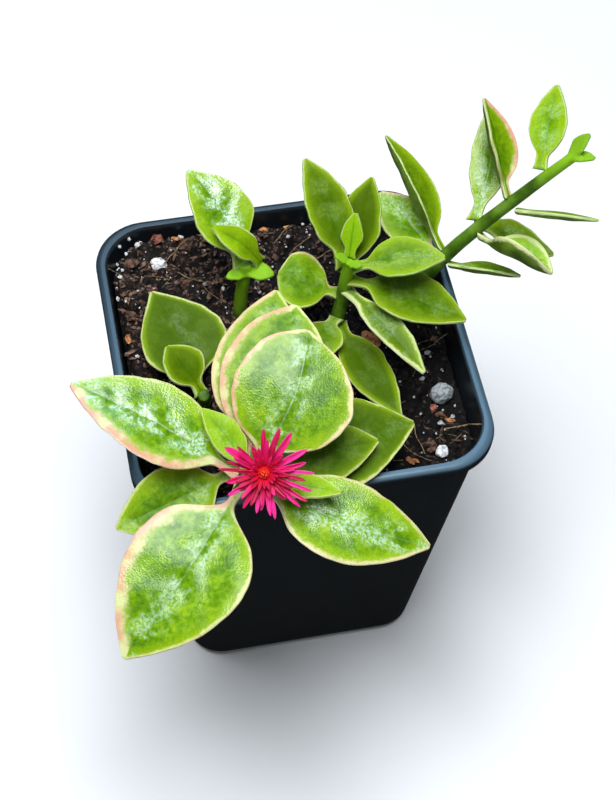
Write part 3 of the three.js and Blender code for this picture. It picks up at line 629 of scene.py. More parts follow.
def stem_skin():
    """Fleshy stem skin: waxy olive green, brighter where it is young, with a fine pebble of water cells."""
    material, add, shader = new_material("fleshy stem skin", Roughness=0.5, Specular_IOR_Level=0.15,
                                         Subsurface_Weight=0.1, Subsurface_Radius=(0.6, 1, 0.2),
                                         Subsurface_Scale=0.8 * MM)
    at = add("TexCoord", out="Object")
    patches = add("TexNoise", Vector=at, Scale=1 / (4.5 * MM), Detail=3)
    # The water cells are about 0.2 mm across, and they are drawn at 0.4 mm so that they show.
    cells = add("TexVoronoi", Vector=at, Scale=1 / (0.4 * MM))
    deep = add("MapRange", Value=patches, From_Min=0.35, From_Max=0.52)
    pale = add("MapRange", Value=patches, From_Min=0.5, From_Max=0.72)
    green = add("MixRGB", Fac=deep, Color1=STEM_DEEP_HEX, Color2=STEM_GREEN_HEX)
    green = add("MixRGB", Fac=pale, Color1=green, Color2=STEM_PALE_HEX)
    young = add("Attribute", {"attribute_name": "young"}, out="Fac")
    set_input(shader, "Base Color", add("MixRGB", Fac=young, Color1=green, Color2=STEM_YOUNG_HEX))
    set_input(shader, "Normal", add("Bump", Height=cells, Strength=0.3, Distance=0.05 * MM))
    return material


stem_material = stem_skin()
for letter in "abcde":
    stem = refined_copy("stem_" + letter)
    modify(stem, "REMESH", mode="VOXEL", voxel_size=STEM_VOXEL)
    modify(stem, "SMOOTH", factor=0.5, iterations=5)
    bpy.ops.object.shade_smooth()
    tip, reach = SHOOT_TIPS.get(letter, ((0, 0, 0), 1))
    young = [max(0, 1 - (v.co / MM - Vector(tip)).length / reach) ** 0.6 for v in stem.data.vertices]
    mark_points(stem, "young", young)
    stem.data.materials.append(stem_material)
    finish_piece(stem, f"shoot_{letter}_stem", "stem", "stem_" + letter)

# The leaves: fleshy blades about 1.2 mm thick, egg-shaped to heart-shaped, on short stalks, in pairs.
# Each is a sheet through the middle of its CAD leaf, grooved along its midrib, that is thickened to the
# leaf's own thickness. Its skin is green in the middle, and cream to pink along the margin.
SHEET_ACROSS = 22
SHEET_ALONG = 40
# A CAD leaf has ten points round each ring, in five pairs that face each other through its thickness. Here
# are the pairs' places q, from -1 at the left margin to 1 at the right. The places t run from 0 at the
# foot to 1 at the tip.
LEAF_SIDES = 10
ACROSS = (-1, -0.618, 0, 0.618, 1)
CROWDING = 0.1
FOOT_REACH = 0.9 * MM
FOOT_FLARE = 1.25
# How the blade thins to its edge, and the groove along its midrib
THICKEST = 1.45 * MM
EDGE_SHARE = 0.6
EDGE_TAPER = 1.5 * MM
GROOVE_DEPTH = 0.28 * MM
GROOVE_HALF = 0.5 * MM
# The waves and the uneven growth of its margin, and the pillows between its slanting side veins
WAVE_HEIGHT = 0.45 * MM
WAVE_LENGTH = 8 * MM
RAG_REACH = 0.35 * MM
RAG_LENGTH = 2.2 * MM
QUILT_HEIGHT = 0.55 * MM
QUILT_SIZE = 3.4 * MM
VEIN_SLANT = 0.8
FULL_RELIEF_HALF = 5 * MM
SIDE_BLEND = 0.2
SMOOTHLY = {"interpolation_type": "SMOOTHSTEP"}
LEAF_DEEP_HEX = "405905"
LEAF_DARK_HEX = "4a7c03"
LEAF_GREEN_HEX = "75a604"
LEAF_LIGHT_HEX = "a2c616"
LEAF_GLINT_HEX = "d2f0d8"
LEAF_YOUNG_HEX = "80b818"
MARGIN_CREAM_HEX = "e2e6a2"
MARGIN_PINK_HEX = "e6a28c"
RIM_CREAM_HEX = "ecebc4"
RIM_PINK_HEX = "efb8a4"
UNDER_OLIVE_HEX = "4a660e"
UNDER_PALE_HEX = "6f8e28"
# Each leaf's tone, from -1 for deep green to 1 for young and bright, its deep end partly the leaf's own
# colour and partly painted shade for leaves that lie in shade, and how much it glistens, in its gloss and in
# painted glints. Then for its left and its right side, as seen with its tip up, how wide its pale margin is
# in mm, and how pink that is.
LEAF_LOOKS = {
    "a1": (0, 0.85, 2.6, 0.6, 1, 0.3), "a2": (-0.1, 0.45, 0.7, 2.8, 0.5, 0.9),
    "a3": (-0.05, 0.6, 0.7, 1.1, 0.5, 0.3), "a4": (-0.2, 0.45, 1.3, 1.1, 0.9, 0.5),
    "a5": (-0.2, 0.2, 1.9, 0.8, 0.9, 0.3), "a6": (-0.25, 0.2, 1.2, 0.6, 0.6, 0.3),
    "a7": (-0.7, 0.05, 0.4, 0.5, 0.2, 0.2), "a8": (-0.85, 0.05, 0.5, 0.7, 0.1, 0.2),
    "a9": (0.3, 0.1, 0.3, 0.3, 0.3, 0.3), "a10": (0.3, 0.1, 0.2, 0.2, 0, 0),
    "a11": (-0.25, 0.2, 0.6, 0.6, 0.2, 0.2),
    "b1": (0, 1, 0.4, 0.4, 0.1, 0.1), "b2": (-0.3, 0, 0.1, 0.1, 0, 0),
    "c1": (-0.75, 0.05, 0.35, 0.35, 0, 0), "c2": (-1, 0, 0.25, 0.25, 0, 0), "c3": (0.8, 0, 0.1, 0.1, 0, 0),
    "c4": (-0.4, 0.12, 0.2, 0.2, 0, 0), "c5": (-0.4, 0.12, 0.4, 0.7, 0.3, 0.6),
    "c6": (-0.7, 0.06, 0.25, 0.3, 0.3, 0.3), "c7": (-0.75, 0.15, 0.5, 0.8, 0, 0),
    "c8": (-1, 0.03, 0.3, 0.3, 0.2, 0.1), "c9": (-0.6, 0.12, 0.5, 0.7, 0.1, 0.1),
    "d1": (-0.7, 0, 0.2, 0.25, 0, 0.4), "d2": (-0.2, 0.35, 0.6, 1.2, 0.2, 0.7),
    "d3": (-0.2, 0.3, 0.3, 0.3, 0, 0), "d4": (-0.2, 0.45, 0.3, 0.4, 0.1, 0.3),
    "d5": (0, 0.4, 0.9, 0.9, 0, 0), "d6": (-0.4, 0, 0.4, 1.1, 0.2, 1), "d7": (-0.2, 0.2, 0.5, 0.5, 0, 0),
    "d8": (-0.3, 0.2, 0.5, 0.5, 0, 0), "d9": (0.2, 0.2, 0.3, 0.3, 0, 0),
    "e1": (-0.95, 0.06, 0.5, 0.6, 0.3, 0.1), "e2": (-0.9, 0, 0.4, 0.4, 0.1, 0.1),
}


def ring_order(ring):
    """The points of one ring of a leaf, in order round it, walked from one point both ways."""
    order = ring[:1]
    for _ in range(2):
        steps = True
        while steps:
            here = order[-1]
            steps = [edge.other_vert(here) for edge in here.link_edges]
            steps = [v for v in steps if v in ring and v not in order]
            order += sorted(steps, key=lambda v: (v.co - here.co).length)[:1]
        order.reverse()
    return [v.co.copy() for v in order]


def leaf_rings(node):
    """The rings of a CAD leaf from foot to tip, each in the same order round it."""
    form = bmesh.new()
    form.from_mesh(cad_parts[node].data)
    bmesh.ops.remove_doubles(form, verts=form.verts, dist=MERGE_REACH)
    end = next(v for v in form.verts if len(v.link_edges) == LEAF_SIDES)
    seen, ring, rings = {end}, [e.other_vert(end) for e in end.link_edges], []
    while len(ring) == LEAF_SIDES:
        rings.append(ring_order(ring))
        seen.update(ring)
        beyond = [e.other_vert(v) for v in ring for e in v.link_edges]
        ring = list(dict.fromkeys(v for v in beyond if v not in seen))
    form.free()
    for number in range(1, len(rings)):
        before, here = rings[number - 1], rings[number]
        turned = [[here[(start + step * i) % LEAF_SIDES] for i in range(LEAF_SIDES)]
                  for start in range(LEAF_SIDES) for step in (1, -1)]
        rings[number] = min(turned, key=lambda order: sum((a - b).length_squared
                                                          for a, b in zip(order, before)))
    rings = np.array(rings)
    return rings[::-1] if np.ptp(rings[0], axis=0).max() < np.ptp(rings[-1], axis=0).max() else rings


def leaf_sections(node):
    """The middle and the thickness of a CAD leaf, at five places across each of its rings."""
    rings = leaf_rings(node)
    widest = rings[len(rings) // 2]
    # The thin way through the blade joins its top and bottom, and its margins bend up, nearer to the top.
    opposite = np.linalg.norm(widest - np.roll(widest, LEAF_SIDES // 2, 0), axis=1)
    top = int(opposite.argmin())
    bottom = (top + LEAF_SIDES // 2) % LEAF_SIDES
    margins = widest[[(top + i) % LEAF_SIDES for i in (2, 3, 7, 8)]].mean(0)
    if np.linalg.norm(widest[top] - margins) > np.linalg.norm(widest[bottom] - margins):
        top, bottom = bottom, top
    along = rings[-1].mean(0) - rings[0].mean(0)
    face = margins - widest[[top, bottom]].mean(0)
    right = widest[(top + 2) % LEAF_SIDES] - widest[(top + 8) % LEAF_SIDES]
    step = 1 if np.dot(right, np.cross(along, face)) > 0 else -1
    # Numbered from the middle of the top, 2 and 3 lie at the right margin, and 8 and 7 at the left.
    rings = rings[:, [(top + step * i) % LEAF_SIDES for i in range(LEAF_SIDES)]]
    upper, lower = rings[:, [8, 9, 0, 1, 2]], rings[:, [7, 6, 5, 4, 3]]
    return (upper + lower) / 2, np.linalg.norm(upper - lower, axis=2)


def across_weights(q):
    """How much each of the five places across counts at a place q, by the polynomial through them."""
    weights = []
    for here in ACROSS:
        others = [other for other in ACROSS if other != here]
        weights.append(math.prod((q - other) / (here - other) for other in others))
    return weights


def along_weights(t, count):
    """How much each ring counts at a place t from foot to tip, by a smooth curve through them."""
    place = min(max(t, 0), 1) * (count - 1)
    first = min(int(place), count - 2)
    s = place - first
    weights = [0] * count
    shares = ((-s + 2 * s * s - s ** 3) / 2, (2 - 5 * s * s + 3 * s ** 3) / 2,
              (s + 4 * s * s - 3 * s ** 3) / 2, (s ** 3 - s * s) / 2)
    for share, ring in zip(shares, range(first - 1, first + 3)):
        weights[min(max(ring, 0), count - 1)] += share
    return weights


def spread_out(x):
    """A place across the sheet, crowded towards the midrib and the margins."""
    return math.copysign(abs(x) - CROWDING * math.sin(2 * math.pi * abs(x)), x)


def relief(seed, t, q, reach, rib):
    """How far a point is lifted by its margin's waves and by the pillows between its side veins."""
    wave = WAVE_HEIGHT * noise.noise(Vector((seed, reach, rib)) / WAVE_LENGTH) * q * q
    outward = (reach - VEIN_SLANT * abs(rib)) / QUILT_SIZE
    quilt = QUILT_HEIGHT * noise.noise(Vector((outward, 0.4 * rib / QUILT_SIZE, seed))) * (1 - q * q)
    return (wave + quilt) * math.sin(math.pi * t) ** 0.5


def ragged(seed, t, q, reach):
    """How far a point near a margin is pushed out or in by the margin's uneven growth."""
    uneven = noise.noise(Vector((reach / RAG_LENGTH, math.copysign(3, q), 5 * seed)))
    return RAG_REACH * uneven * q ** 5 * math.sin(math.pi * t) ** 0.5


def grow_leaf(name, looks):
    """One leaf: its sheet, its groove and waves, its thickness and the marks that its pattern reads."""
    middle, thickness = leaf_sections("leaf_" + name)
    tone, shine, left_margin, right_margin, left_pink, right_pink = looks
    leaf = start_from(bpy.ops.mesh.primitive_grid_add, x_subdivisions=SHEET_ACROSS,
                      y_subdivisions=SHEET_ALONG, size=2)
    mesh = leaf.data
    # The first row of points lies inside the stem, and the others run from the foot to the tip.
    row = 1 / SHEET_ALONG
    q = np.array([spread_out(v.co.x) for v in mesh.vertices])
    t = np.array([(v.co.y + 1) / 2 for v in mesh.vertices])
    in_stem = t < row / 2
    t = ((t - row) / (1 - row)).clip(0, 1)
    wq = np.array([across_weights(value) for value in q])
    wt = np.array([along_weights(value, len(middle)) for value in t])
    points = np.einsum("nk,nj,kjx->nx", wt, wq, middle)
    thick = np.einsum("nk,nj,kj->n", wt, wq, thickness)
    span = wt @ (middle[:, 4] - middle[:, 0])
    half = np.linalg.norm(span, axis=1) / 2
    edge = (1 - abs(q)) * half
    thick *= EDGE_SHARE + (1 - EDGE_SHARE) * np.minimum(edge / EDGE_TAPER, 1)
    rib_line = wt @ middle[:, 2]
    ahead = middle[1].mean(0) - middle[0].mean(0)
    ahead /= np.linalg.norm(ahead)
    points[in_stem] = (rib_line + (points - rib_line) * FOOT_FLARE - ahead * FOOT_REACH)[in_stem]
    grid = points.reshape(SHEET_ALONG + 1, SHEET_ACROSS + 1, 3)
    normal = np.cross(np.gradient(grid, axis=1), np.gradient(grid, axis=0)).reshape(-1, 3)
    normal /= np.linalg.norm(normal, axis=1, keepdims=True)
    rib = q * half
    groove = -GROOVE_DEPTH * np.exp(-(rib / GROOVE_HALF) ** 2) * np.sin(np.pi * t) ** 0.5
    length = np.linalg.norm(np.diff(middle[:, 2], axis=0), axis=1).sum()
    seed = points[0, 0] / MM
    lift = np.array([relief(seed, *place) for place in zip(t, q, t * length, rib)])
    points += normal * ((groove + lift) * np.minimum(half / FULL_RELIEF_HALF, 1))[:, None]
    push = np.array([ragged(seed, *place) for place in zip(t, q, t * length)])
    points += span / (2 * half)[:, None] * push[:, None]
    mesh.vertices.foreach_set("co", points.ravel())
    right = ((q + SIDE_BLEND) / (2 * SIDE_BLEND)).clip(0, 1)
    marks = {
        "edge_mm": edge / MM,
        "rib_mm": abs(rib) / MM,
        "along": t,
        "tone": np.full(len(t), tone),
        "shine": np.full(len(t), shine),
        "margin_mm": left_margin + (right_margin - left_margin) * right,
        "pink": left_pink + (right_pink - left_pink) * right,
    }
    for label, values in marks.items():
        mark_points(leaf, label, values)
    group = leaf.vertex_groups.new(name="thickness")
    for index, value in enumerate(thick):
        group.add([index], float(value / THICKEST), "REPLACE")
    for skin in leaf_skins:
        mesh.materials.append(skin)
    modify(leaf, "SOLIDIFY", thickness=THICKEST, offset=0, vertex_group="thickness",
           use_even_offset=False, material_offset=1, material_offset_rim=2)
    modify(leaf, "SUBSURF", levels=1, render_levels=1)
    bpy.ops.object.shade_smooth()
    finish_piece(leaf, "leaf_blade_" + name, "leaf", "leaf_" + name)


def leaf_marks(add):
    """The marks that a blade's mesh carries, as sockets, with its object coordinates."""
    labels = ("edge_mm", "rib_mm", "along", "tone", "shine", "margin_mm", "pink")
    marks = {label: add("Attribute", {"attribute_name": label}, out="Fac") for label in labels}
    marks["at"] = add("TexCoord", out="Object")
    return marks


def margin_share(add, marks, broad, fine, widen):
    """How much of the pale margin shows: nearly all at the edge, fading inwards with a ragged border."""
    # The border drifts in and out by a share of the margin's own width.
    drift = add("MixRGB", Fac=0.3, Color1=broad, Color2=fine)
    drift = add("Math", {"operation": "MULTIPLY_ADD"}, _0=drift, _1=3.2, _2=-1.6)
    place = add("Math", {"operation": "MULTIPLY_ADD"}, _0=drift, _1=marks["margin_mm"], _2=marks["edge_mm"])
    reach = add("Math", TIMES, _0=marks["margin_mm"], _1=widen)
    full = add("Math", TIMES, _0=reach, _1=0.3)
    return add("MapRange", SMOOTHLY, Value=place, From_Min=reach, From_Max=full, To_Max=0.9)


def upper_skin():
    """The upper skin: waxy green flesh, glistening with water cells and with painted glints along the midrib,
    and cream to pink at the margin.
    """
    # The level is that of an average leaf, for a viewer that knows only one gloss for all of them.
    material, add, shader = new_material("upper leaf skin", Specular_IOR_Level=0.25, Subsurface_Weight=0.08,
                                         Subsurface_Radius=(0.5, 1, 0.15), Subsurface_Scale=0.8 * MM)
    marks = leaf_marks(add)
    broad = add("TexNoise", Vector=marks["at"], Scale=1 / (3.5 * MM), Detail=3)
    fine = add("TexNoise", Vector=marks["at"], Scale=1 / (0.8 * MM), Detail=3)
    specks = add("TexNoise", Vector=marks["at"], Scale=1 / (0.5 * MM), Detail=2)
    # The water cells are about 0.2 mm across, and they are drawn at 0.36 mm so that they show.
    cells = add("TexVoronoi", Vector=marks["at"], Scale=1 / (0.36 * MM))
    between = add("MapRange", Value=cells, From_Min=0.4, From_Max=0.8, To_Max=0.16)
    mottle = add("MixRGB", Fac=0.4, Color1=broad, Color2=fine)
    darker = add("MapRange", Value=mottle, From_Min=0.36, From_Max=0.52)
    lighter = add("MapRange", Value=mottle, From_Min=0.5, From_Max=0.66)
    outer = add("MapRange", SMOOTHLY, Value=marks["edge_mm"], From_Min=3.5, From_Max=0.8, To_Max=0.6)
    soft = add("MapRange", SMOOTHLY, Value=marks["edge_mm"], From_Min=1.5, From_Max=0.1, To_Max=0.45)
    # Painted shade in part: a low tone deepens the green of leaves that lie in shade.
    deep = add("MapRange", Value=marks["tone"], From_Min=0, From_Max=-1, To_Max=0.9)
    young = add("MapRange", Value=marks["tone"], From_Min=0, From_Max=1, To_Max=0.85)
    # Painted glints: pale specks in patches along the midrib, where the water cells glisten.
    painted_glints = add("MapRange", SMOOTHLY, Value=broad, From_Min=0.46, From_Max=0.55)
    near = add("MapRange", SMOOTHLY, Value=marks["rib_mm"], From_Min=3.4, From_Max=1.2, To_Min=0.06)
    speckle = add("MapRange", Value=specks, From_Min=0.43, From_Max=0.57, To_Min=0.1, To_Max=0.95)
    for share in (speckle, near, marks["shine"]):
        painted_glints = add("Math", TIMES, _0=painted_glints, _1=share)
    colour = add("MixRGB", Fac=darker, Color1=LEAF_DARK_HEX, Color2=LEAF_GREEN_HEX)
    for share, layer in ((lighter, LEAF_LIGHT_HEX), (outer, LEAF_LIGHT_HEX), (deep, LEAF_DEEP_HEX),
                         (young, LEAF_YOUNG_HEX), (soft, LEAF_LIGHT_HEX), (painted_glints, LEAF_GLINT_HEX),
                         (between, LEAF_DEEP_HEX)):
        colour = add("MixRGB", Fac=share, Color1=colour, Color2=layer)
    # The margin, cream with blushes of pink, lies over the green.
    blush = add("MapRange", Value=broad, From_Min=0.34, From_Max=0.52)
    outermost = add("MapRange", Value=marks["edge_mm"], From_Min=2.4, From_Max=0.6, To_Min=0.15)
    for share in (marks["pink"], outermost):
        blush = add("Math", TIMES, _0=blush, _1=share)
    margin = add("MixRGB", Fac=blush, Color1=MARGIN_CREAM_HEX, Color2=MARGIN_PINK_HEX)
    pale = margin_share(add, marks, broad, fine, 1.0)
    narrow = add("MapRange", Value=marks["margin_mm"], From_Min=0.2, From_Max=1, To_Min=0.4)
    pale = add("Math", TIMES, _0=pale, _1=narrow)
    colour = add("MixRGB", Fac=pale, Color1=colour, Color2=margin)
    # The midrib is a fine broken line, which fades out before the tip: a painted glint on glistening leaves
    # and painted shade in its groove on dull ones.
    rib_glint_and_shade = add("MapRange", Value=marks["rib_mm"], From_Min=0.3, From_Max=0.06, To_Max=0.45)
    fade = add("MapRange", Value=marks["along"], From_Min=0.95, From_Max=0.7)
    broken = add("MapRange", Value=fine, From_Min=0.36, From_Max=0.52, To_Min=0.3)
    for share in (fade, broken):
        rib_glint_and_shade = add("Math", TIMES, _0=rib_glint_and_shade, _1=share)
    # The midrib's colour: painted shade in the groove of dull leaves, a painted glint on glistening ones.
    rib = add("MixRGB", Fac=marks["shine"], Color1=LEAF_DEEP_HEX, Color2=LEAF_GLINT_HEX)
    set_input(shader, "Base Color", add("MixRGB", Fac=rib_glint_and_shade, Color1=colour, Color2=rib))
    waxy = add("MapRange", Value=broad, From_Min=0.65, From_Max=0.35, To_Min=0.13, To_Max=0.3)
    dull = add("MapRange", Value=marks["shine"], From_Min=0.4, From_Max=0, To_Max=0.3)
    set_input(shader, "Roughness", add("Math", {"operation": "ADD"}, _0=waxy, _1=dull))
    gloss = add("MapRange", Value=marks["shine"], To_Min=0.02, To_Max=0.7)
    set_input(shader, "Specular IOR Level", gloss)
    height = add("Math", {"operation": "MULTIPLY_ADD"}, _0=fine, _1=0.5, _2=cells)
    set_input(shader, "Normal", add("Bump", Height=height, Strength=0.5, Distance=0.06 * MM))
    return material


def under_skin():
    """The underside: duller and more olive than the upper skin, with a narrow pale margin."""
    material, add, shader = new_material("leaf underside skin", Roughness=0.42, Subsurface_Weight=0.08,
                                         Subsurface_Radius=(0.5, 1, 0.15), Subsurface_Scale=0.8 * MM)
    marks = leaf_marks(add)
    broad = add("TexNoise", Vector=marks["at"], Scale=1 / (3 * MM), Detail=3)
    fine = add("TexNoise", Vector=marks["at"], Scale=1 / (0.8 * MM), Detail=3)
    # The same cells as on the upper skin, drawn a little coarser
    cells = add("TexVoronoi", Vector=marks["at"], Scale=1 / (0.45 * MM))
    lighter = add("MapRange", Value=broad, From_Min=0.38, From_Max=0.64)
    young = add("MapRange", Value=marks["tone"], From_Min=0, From_Max=1, To_Max=0.8)
    olive = add("MixRGB", Fac=lighter, Color1=UNDER_OLIVE_HEX, Color2=UNDER_PALE_HEX)
    olive = add("MixRGB", Fac=young, Color1=olive, Color2=LEAF_GREEN_HEX)
    margin = add("MixRGB", Fac=marks["pink"], Color1=MARGIN_CREAM_HEX, Color2=MARGIN_PINK_HEX)
    pale = margin_share(add, marks, broad, fine, 0.9)
    set_input(shader, "Base Color", add("MixRGB", Fac=pale, Color1=olive, Color2=margin))
    set_input(shader, "Normal", add("Bump", Height=cells, Strength=0.3, Distance=0.05 * MM))
    return material


def margin_skin():
    """The blunt margin: pale, a little translucent, cream with pink stretches."""
    material, add, shader = new_material("leaf margin skin", Roughness=0.35, Subsurface_Weight=0.15,
                                         Subsurface_Radius=(1, 0.9, 0.5), Subsurface_Scale=0.8 * MM)
    marks = leaf_marks(add)
    broad = add("TexNoise", Vector=marks["at"], Scale=1 / (4 * MM), Detail=3)
    blotch = add("MapRange", Value=broad, From_Min=0.35, From_Max=0.6)
    blush = add("Math", TIMES, _0=blotch, _1=marks["pink"])
    green = add("MapRange", Value=marks["margin_mm"], From_Min=1.2, From_Max=0.4)
    worn = add("MapRange", Value=broad, From_Min=0.36, From_Max=0.6, To_Min=1, To_Max=0.55)
    green = add("Math", TIMES, _0=green, _1=worn)
    colour = add("MixRGB", Fac=blush, Color1=RIM_CREAM_HEX, Color2=RIM_PINK_HEX)
    set_input(shader, "Base Color", add("MixRGB", Fac=green, Color1=colour, Color2=LEAF_GREEN_HEX))
    return material


leaf_skins = [upper_skin(), under_skin(), margin_skin()]
for leaf_name, leaf_looks in LEAF_LOOKS.items():
    grow_leaf(leaf_name, leaf_looks)

# The flower: a green cup with four fleshy sepals, three rows of narrow silky petals on its brim, and a
# dense tuft of short red stamens with orange heads in the middle.
FLOWER_CENTRE = Vector((-11.1, -34.9, 88.1)) * MM
FLOWER_AXIS = Vector((-0.13, -0.55, 0.83)).normalized()
PETAL_FOOT_SHARE = 0.75
PETAL_TIP_SHARE = 0.35
PETAL_THICKNESS = 0.26 * MM
PETAL_TROUGH = 0.1
PETAL_DROOP = 0.07
PETAL_ROUNDING = 0.06
PETAL_ROLL = 0.5
# Each petal's turn about the axis in degrees, its length and width, its rise in degrees, and how light it is,
# which is painted light and shade for how much light the petal catches.
OUTER_PETALS = [
    (80, 5.8, 0.85, 16, 0.25), (60, 6.2, 1, 10, 0.2), (44, 6.4, 1.25, 6, 0.6), (18, 6.6, 1.1, 16, 0.9),
    (2, 5.6, 0.9, 14, 0.65), (350, 6.8, 0.6, 10, 1), (340, 5.4, 0.7, 16, 0.2), (328, 6.8, 0.65, 10, 0.9),
    (315, 7, 0.75, 16, 0.5), (306, 6.6, 0.7, 6, 0.9), (299, 4, 1.4, 8, 0.6), (274, 6.2, 0.85, 6, 0.85),
    (268, 5.6, 0.8, 16, 0.8), (256, 4.6, 0.75, 6, 0.8), (248, 5.2, 0.8, 16, 0.8), (228, 5.2, 0.9, 14, 0.4),
    (202, 5.4, 0.9, 10, 0.8), (184, 4.8, 1.2, 6, 0.55), (164, 6, 0.5, 10, 0.2), (152, 5, 0.5, 10, 0.1),
    (135, 6.2, 1.4, 16, 0.65), (125, 4.6, 0.75, 6, 0.05), (104, 3.2, 1.1, 6, 0.15),
]
# The two inner rows: how many petals, the range of their lengths, their width, and the range of their rises
INNER_ROWS = [(20, (3, 4.8), 0.85, (16, 32)), (18, (2.2, 3.2), 0.62, (42, 62))]
# How far from the axis and how high each of the three rows starts, in millimetres
ROW_STARTS = [(1.6, 0.4), (1.3, 0.65), (0.8, 0.85)]
# What each point of a petal is marked with: how light its petal is, and how far out and aside the point is
PETAL_MARKS = ("tone", "out_mm", "side_mm")
PETAL_DARK_HEX = "a8042e"
PETAL_HEX = "dc0860"
PETAL_LIGHT_HEX = "f83aa4"
PETAL_FOOT_HEX = "d00a24"
STAMEN_COUNT = 60
STAMEN_LENGTH = 1.9 * MM
STAMEN_SPREAD = 0.65 * MM
STAMEN_RISE = 0.3 * MM
STAMEN_RADII = {"radius1": 0.13 * MM, "radius2": 0.15 * MM}
STAMEN_DOME = 0.9 * MM
STAMEN_LEAN = 0.5
STAMEN_STRAY = 0.1
GOLDEN_ANGLE = math.pi * (3 - math.sqrt(5))
CUP_VOXEL = 0.2 * MM
STAMEN_RED_HEX = "e01208"
STAMEN_HEAD_HEX = "ff6a28"


def face_flower(piece):
    """Turns a piece made round the Z axis to the flower's own axis and place."""
    upright = Vector((0, 0, 1)).rotation_difference(FLOWER_AXIS)
    piece.data.transform(Matrix.Translation(FLOWER_CENTRE) @ upright.to_matrix().to_4x4())


def model_petal():
    """One petal of length and width 1: a strap with a shallow trough, a rounded tip and a slight droop."""
    petal = start_from(bpy.ops.mesh.primitive_grid_add, x_subdivisions=10, y_subdivisions=4, size=1)
    for vertex in petal.data.vertices:
        t, side = vertex.co.x + 0.5, 2 * vertex.co.y
        end = PETAL_FOOT_SHARE + (PETAL_TIP_SHARE - PETAL_FOOT_SHARE) * t
        half = 0.5 * (end + (1 - end) * math.sin(math.pi * t) ** 0.6)
        t -= PETAL_ROUNDING * t ** 6 * side * side
        vertex.co = (t, side * half, PETAL_TROUGH * side * side * half - PETAL_DROOP * t ** 3)
    return petal


def silky_petal():
    """Petal skin: silky magenta that deepens to crimson at its foot, with fine streaks along it, and painted
    light and shade that make each petal lighter or darker.
    """
    material, add, shader = new_material("silky petal", Roughness=0.5, Specular_IOR_Level=0.3,
                                         Subsurface_Weight=0.08, Subsurface_Radius=(1, 0.2, 0.4),
                                         Subsurface_Scale=0.4 * MM)
    tone, out, side = [add("Attribute", {"attribute_name": label}, out="Fac") for label in PETAL_MARKS]
    # The streaks are drawn 4 mm long and 0.25 mm wide, wider than the real ones, so that they show.
    lengthwise = add("Math", TIMES, _0=out, _1=0.25)
    crosswise = add("Math", TIMES, _0=side, _1=4.0)
    place = add("CombineXYZ", X=lengthwise, Y=crosswise, Z=tone)
    streak = add("TexNoise", Vector=place, Scale=1.0, Detail=2)
    light = add("Math", {"operation": "MULTIPLY_ADD"}, _0=streak, _1=1.5, _2=-0.75)
    # Painted light and shade: each petal's tone, with its streaks, makes it lighter or darker.
    light = add("Math", {"operation": "ADD"}, _0=light, _1=tone)
    bright = add("MapRange", Value=light, From_Min=0, From_Max=0.5)
    brightest = add("MapRange", Value=light, From_Min=0.5, From_Max=1.2)
    foot = add("MapRange", Value=out, From_Min=4, From_Max=1.4, To_Max=0.9)
    colour = add("MixRGB", Fac=bright, Color1=PETAL_DARK_HEX, Color2=PETAL_HEX)
    colour = add("MixRGB", Fac=brightest, Color1=colour, Color2=PETAL_LIGHT_HEX)
    set_input(shader, "Base Color", add("MixRGB", Fac=foot, Color1=colour, Color2=PETAL_FOOT_HEX))
    set_input(shader, "Normal", add("Bump", Height=streak, Strength=0.5, Distance=0.08 * MM))
    return material


petal_shape, petal_sides = take_shape(model_petal())
draw = random.Random(3)
petal_rows = [OUTER_PETALS]
for count, lengths, width, rises in INNER_ROWS:
    petal_rows.append([(360 * (number + draw.uniform(-0.3, 0.3)) / count, draw.uniform(*lengths), width,
                        draw.uniform(*rises), draw.uniform(0, 0.6)) for number in range(count)])
points, faces, marks = [], [], []
for row, (row_start, row_height) in zip(petal_rows, ROW_STARTS):
    for heading, length, width, rise, tone in row:
        about = Matrix.Rotation(math.radians(heading), 3, "Z")
        roll = Matrix.Rotation(draw.uniform(-PETAL_ROLL, PETAL_ROLL), 3, "X")
        lay = about @ Matrix.Rotation(-math.radians(rise), 3, "Y") @ roll
        foot = about @ Vector((row_start, 0, row_height))
        start = len(points)
        for co in petal_shape:
            points.append((foot + lay @ Vector((co.x * length, co.y * width, co.z * length))) * MM)
            # The heading sets each petal's streaks apart from those of the next one.
            marks.append((tone, row_start + co.x * length, co.y * width + 0.01 * heading))
        faces += [tuple(start + i for i in side) for side in petal_sides]
petals = join_copies("petals", points, faces)
for label, values in zip(PETAL_MARKS, zip(*marks)):
    mark_points(petals, label, values)
modify(petals, "SOLIDIFY", thickness=PETAL_THICKNESS, offset=0)
modify(petals, "SUBSURF", levels=1, render_levels=1)
bpy.ops.object.shade_smooth()
face_flower(petals)
petals.data.materials.append(silky_petal())
finish_piece(petals, "petals", "petal", "flower_petals")


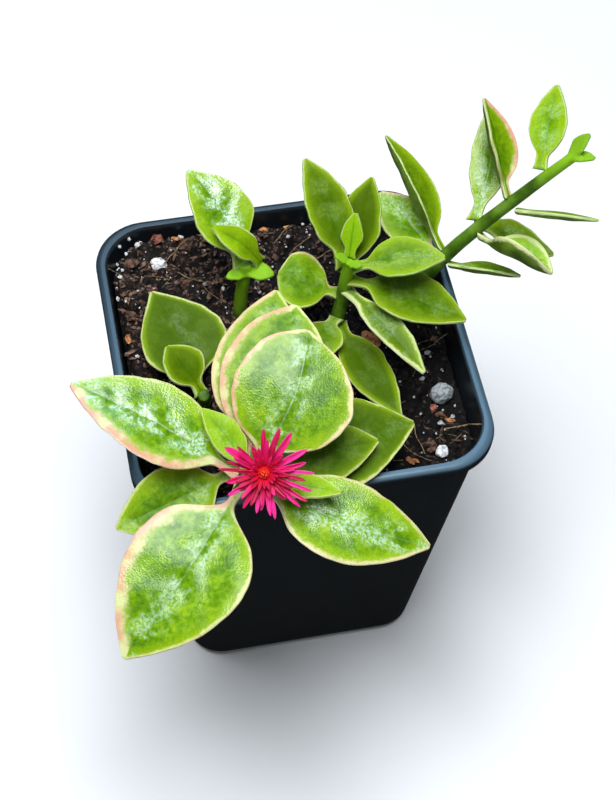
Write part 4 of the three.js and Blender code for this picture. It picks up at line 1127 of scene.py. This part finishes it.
def stamen_flesh():
    """Stamen flesh: red filaments whose heads shade to orange."""
    material, add, shader = new_material("stamen filament", Roughness=0.5)
    up = add("Attribute", {"attribute_name": "up"}, out="Fac")
    head = add("MapRange", Value=up, From_Min=0.84, From_Max=0.96)
    colour = add("MixRGB", Fac=head, Color1=STAMEN_RED_HEX, Color2=STAMEN_HEAD_HEX)
    set_input(shader, "Base Color", colour)
    return material


stamens = start_from(bpy.ops.mesh.primitive_uv_sphere_add, segments=24, ring_count=12, radius=STAMEN_DOME)
for vertex in stamens.data.vertices:
    vertex.co.z = max(vertex.co.z, 0) * 0.9
filaments = []
draw = random.Random(9)
for number in range(STAMEN_COUNT):
    spread = math.sqrt((number + 0.5) / STAMEN_COUNT)
    heading = number * GOLDEN_ANGLE
    length = STAMEN_LENGTH * (1.1 - 0.35 * spread) * draw.uniform(0.85, 1.1)
    out = Vector((math.cos(heading), math.sin(heading), 0))
    lean = STAMEN_LEAN * spread + draw.uniform(-STAMEN_STRAY, STAMEN_STRAY)
    lean = Matrix.Rotation(lean, 4, Vector((-out.y, out.x, 0)))
    place = out * spread * STAMEN_SPREAD + Vector((0, 0, STAMEN_RISE + length / 2))
    filament = start_from(bpy.ops.mesh.primitive_cone_add, vertices=5, depth=length, **STAMEN_RADII)
    filament.data.transform(Matrix.Translation(place) @ lean)
    filaments.append(filament)
take_up(stamens)
for filament in filaments:
    filament.select_set(True)
bpy.ops.object.join()
bpy.ops.object.transform_apply(location=True, rotation=True, scale=True)
tallest = max(v.co.z for v in stamens.data.vertices)
ups = [v.co.z / tallest for v in stamens.data.vertices]
mark_points(stamens, "up", ups)
bpy.ops.object.shade_smooth()
face_flower(stamens)
stamens.data.materials.append(stamen_flesh())
finish_piece(stamens, "stamens", "stamen", "flower_stamens")

flower_cup = refined_copy("flower_cup")
modify(flower_cup, "REMESH", mode="VOXEL", voxel_size=CUP_VOXEL)
modify(flower_cup, "SMOOTH", factor=0.5, iterations=4)
bpy.ops.object.shade_smooth()
flower_cup.data.materials.append(stem_material)
finish_piece(flower_cup, "flower_cup_and_sepals", "stem", "flower_cup")

# The two boxes, for comparing how far the visual model and the CAD model reach.
size = {"cad_box": [list(corner) for corner in cad_box],
        "visual_box": [list(corner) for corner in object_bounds()]}
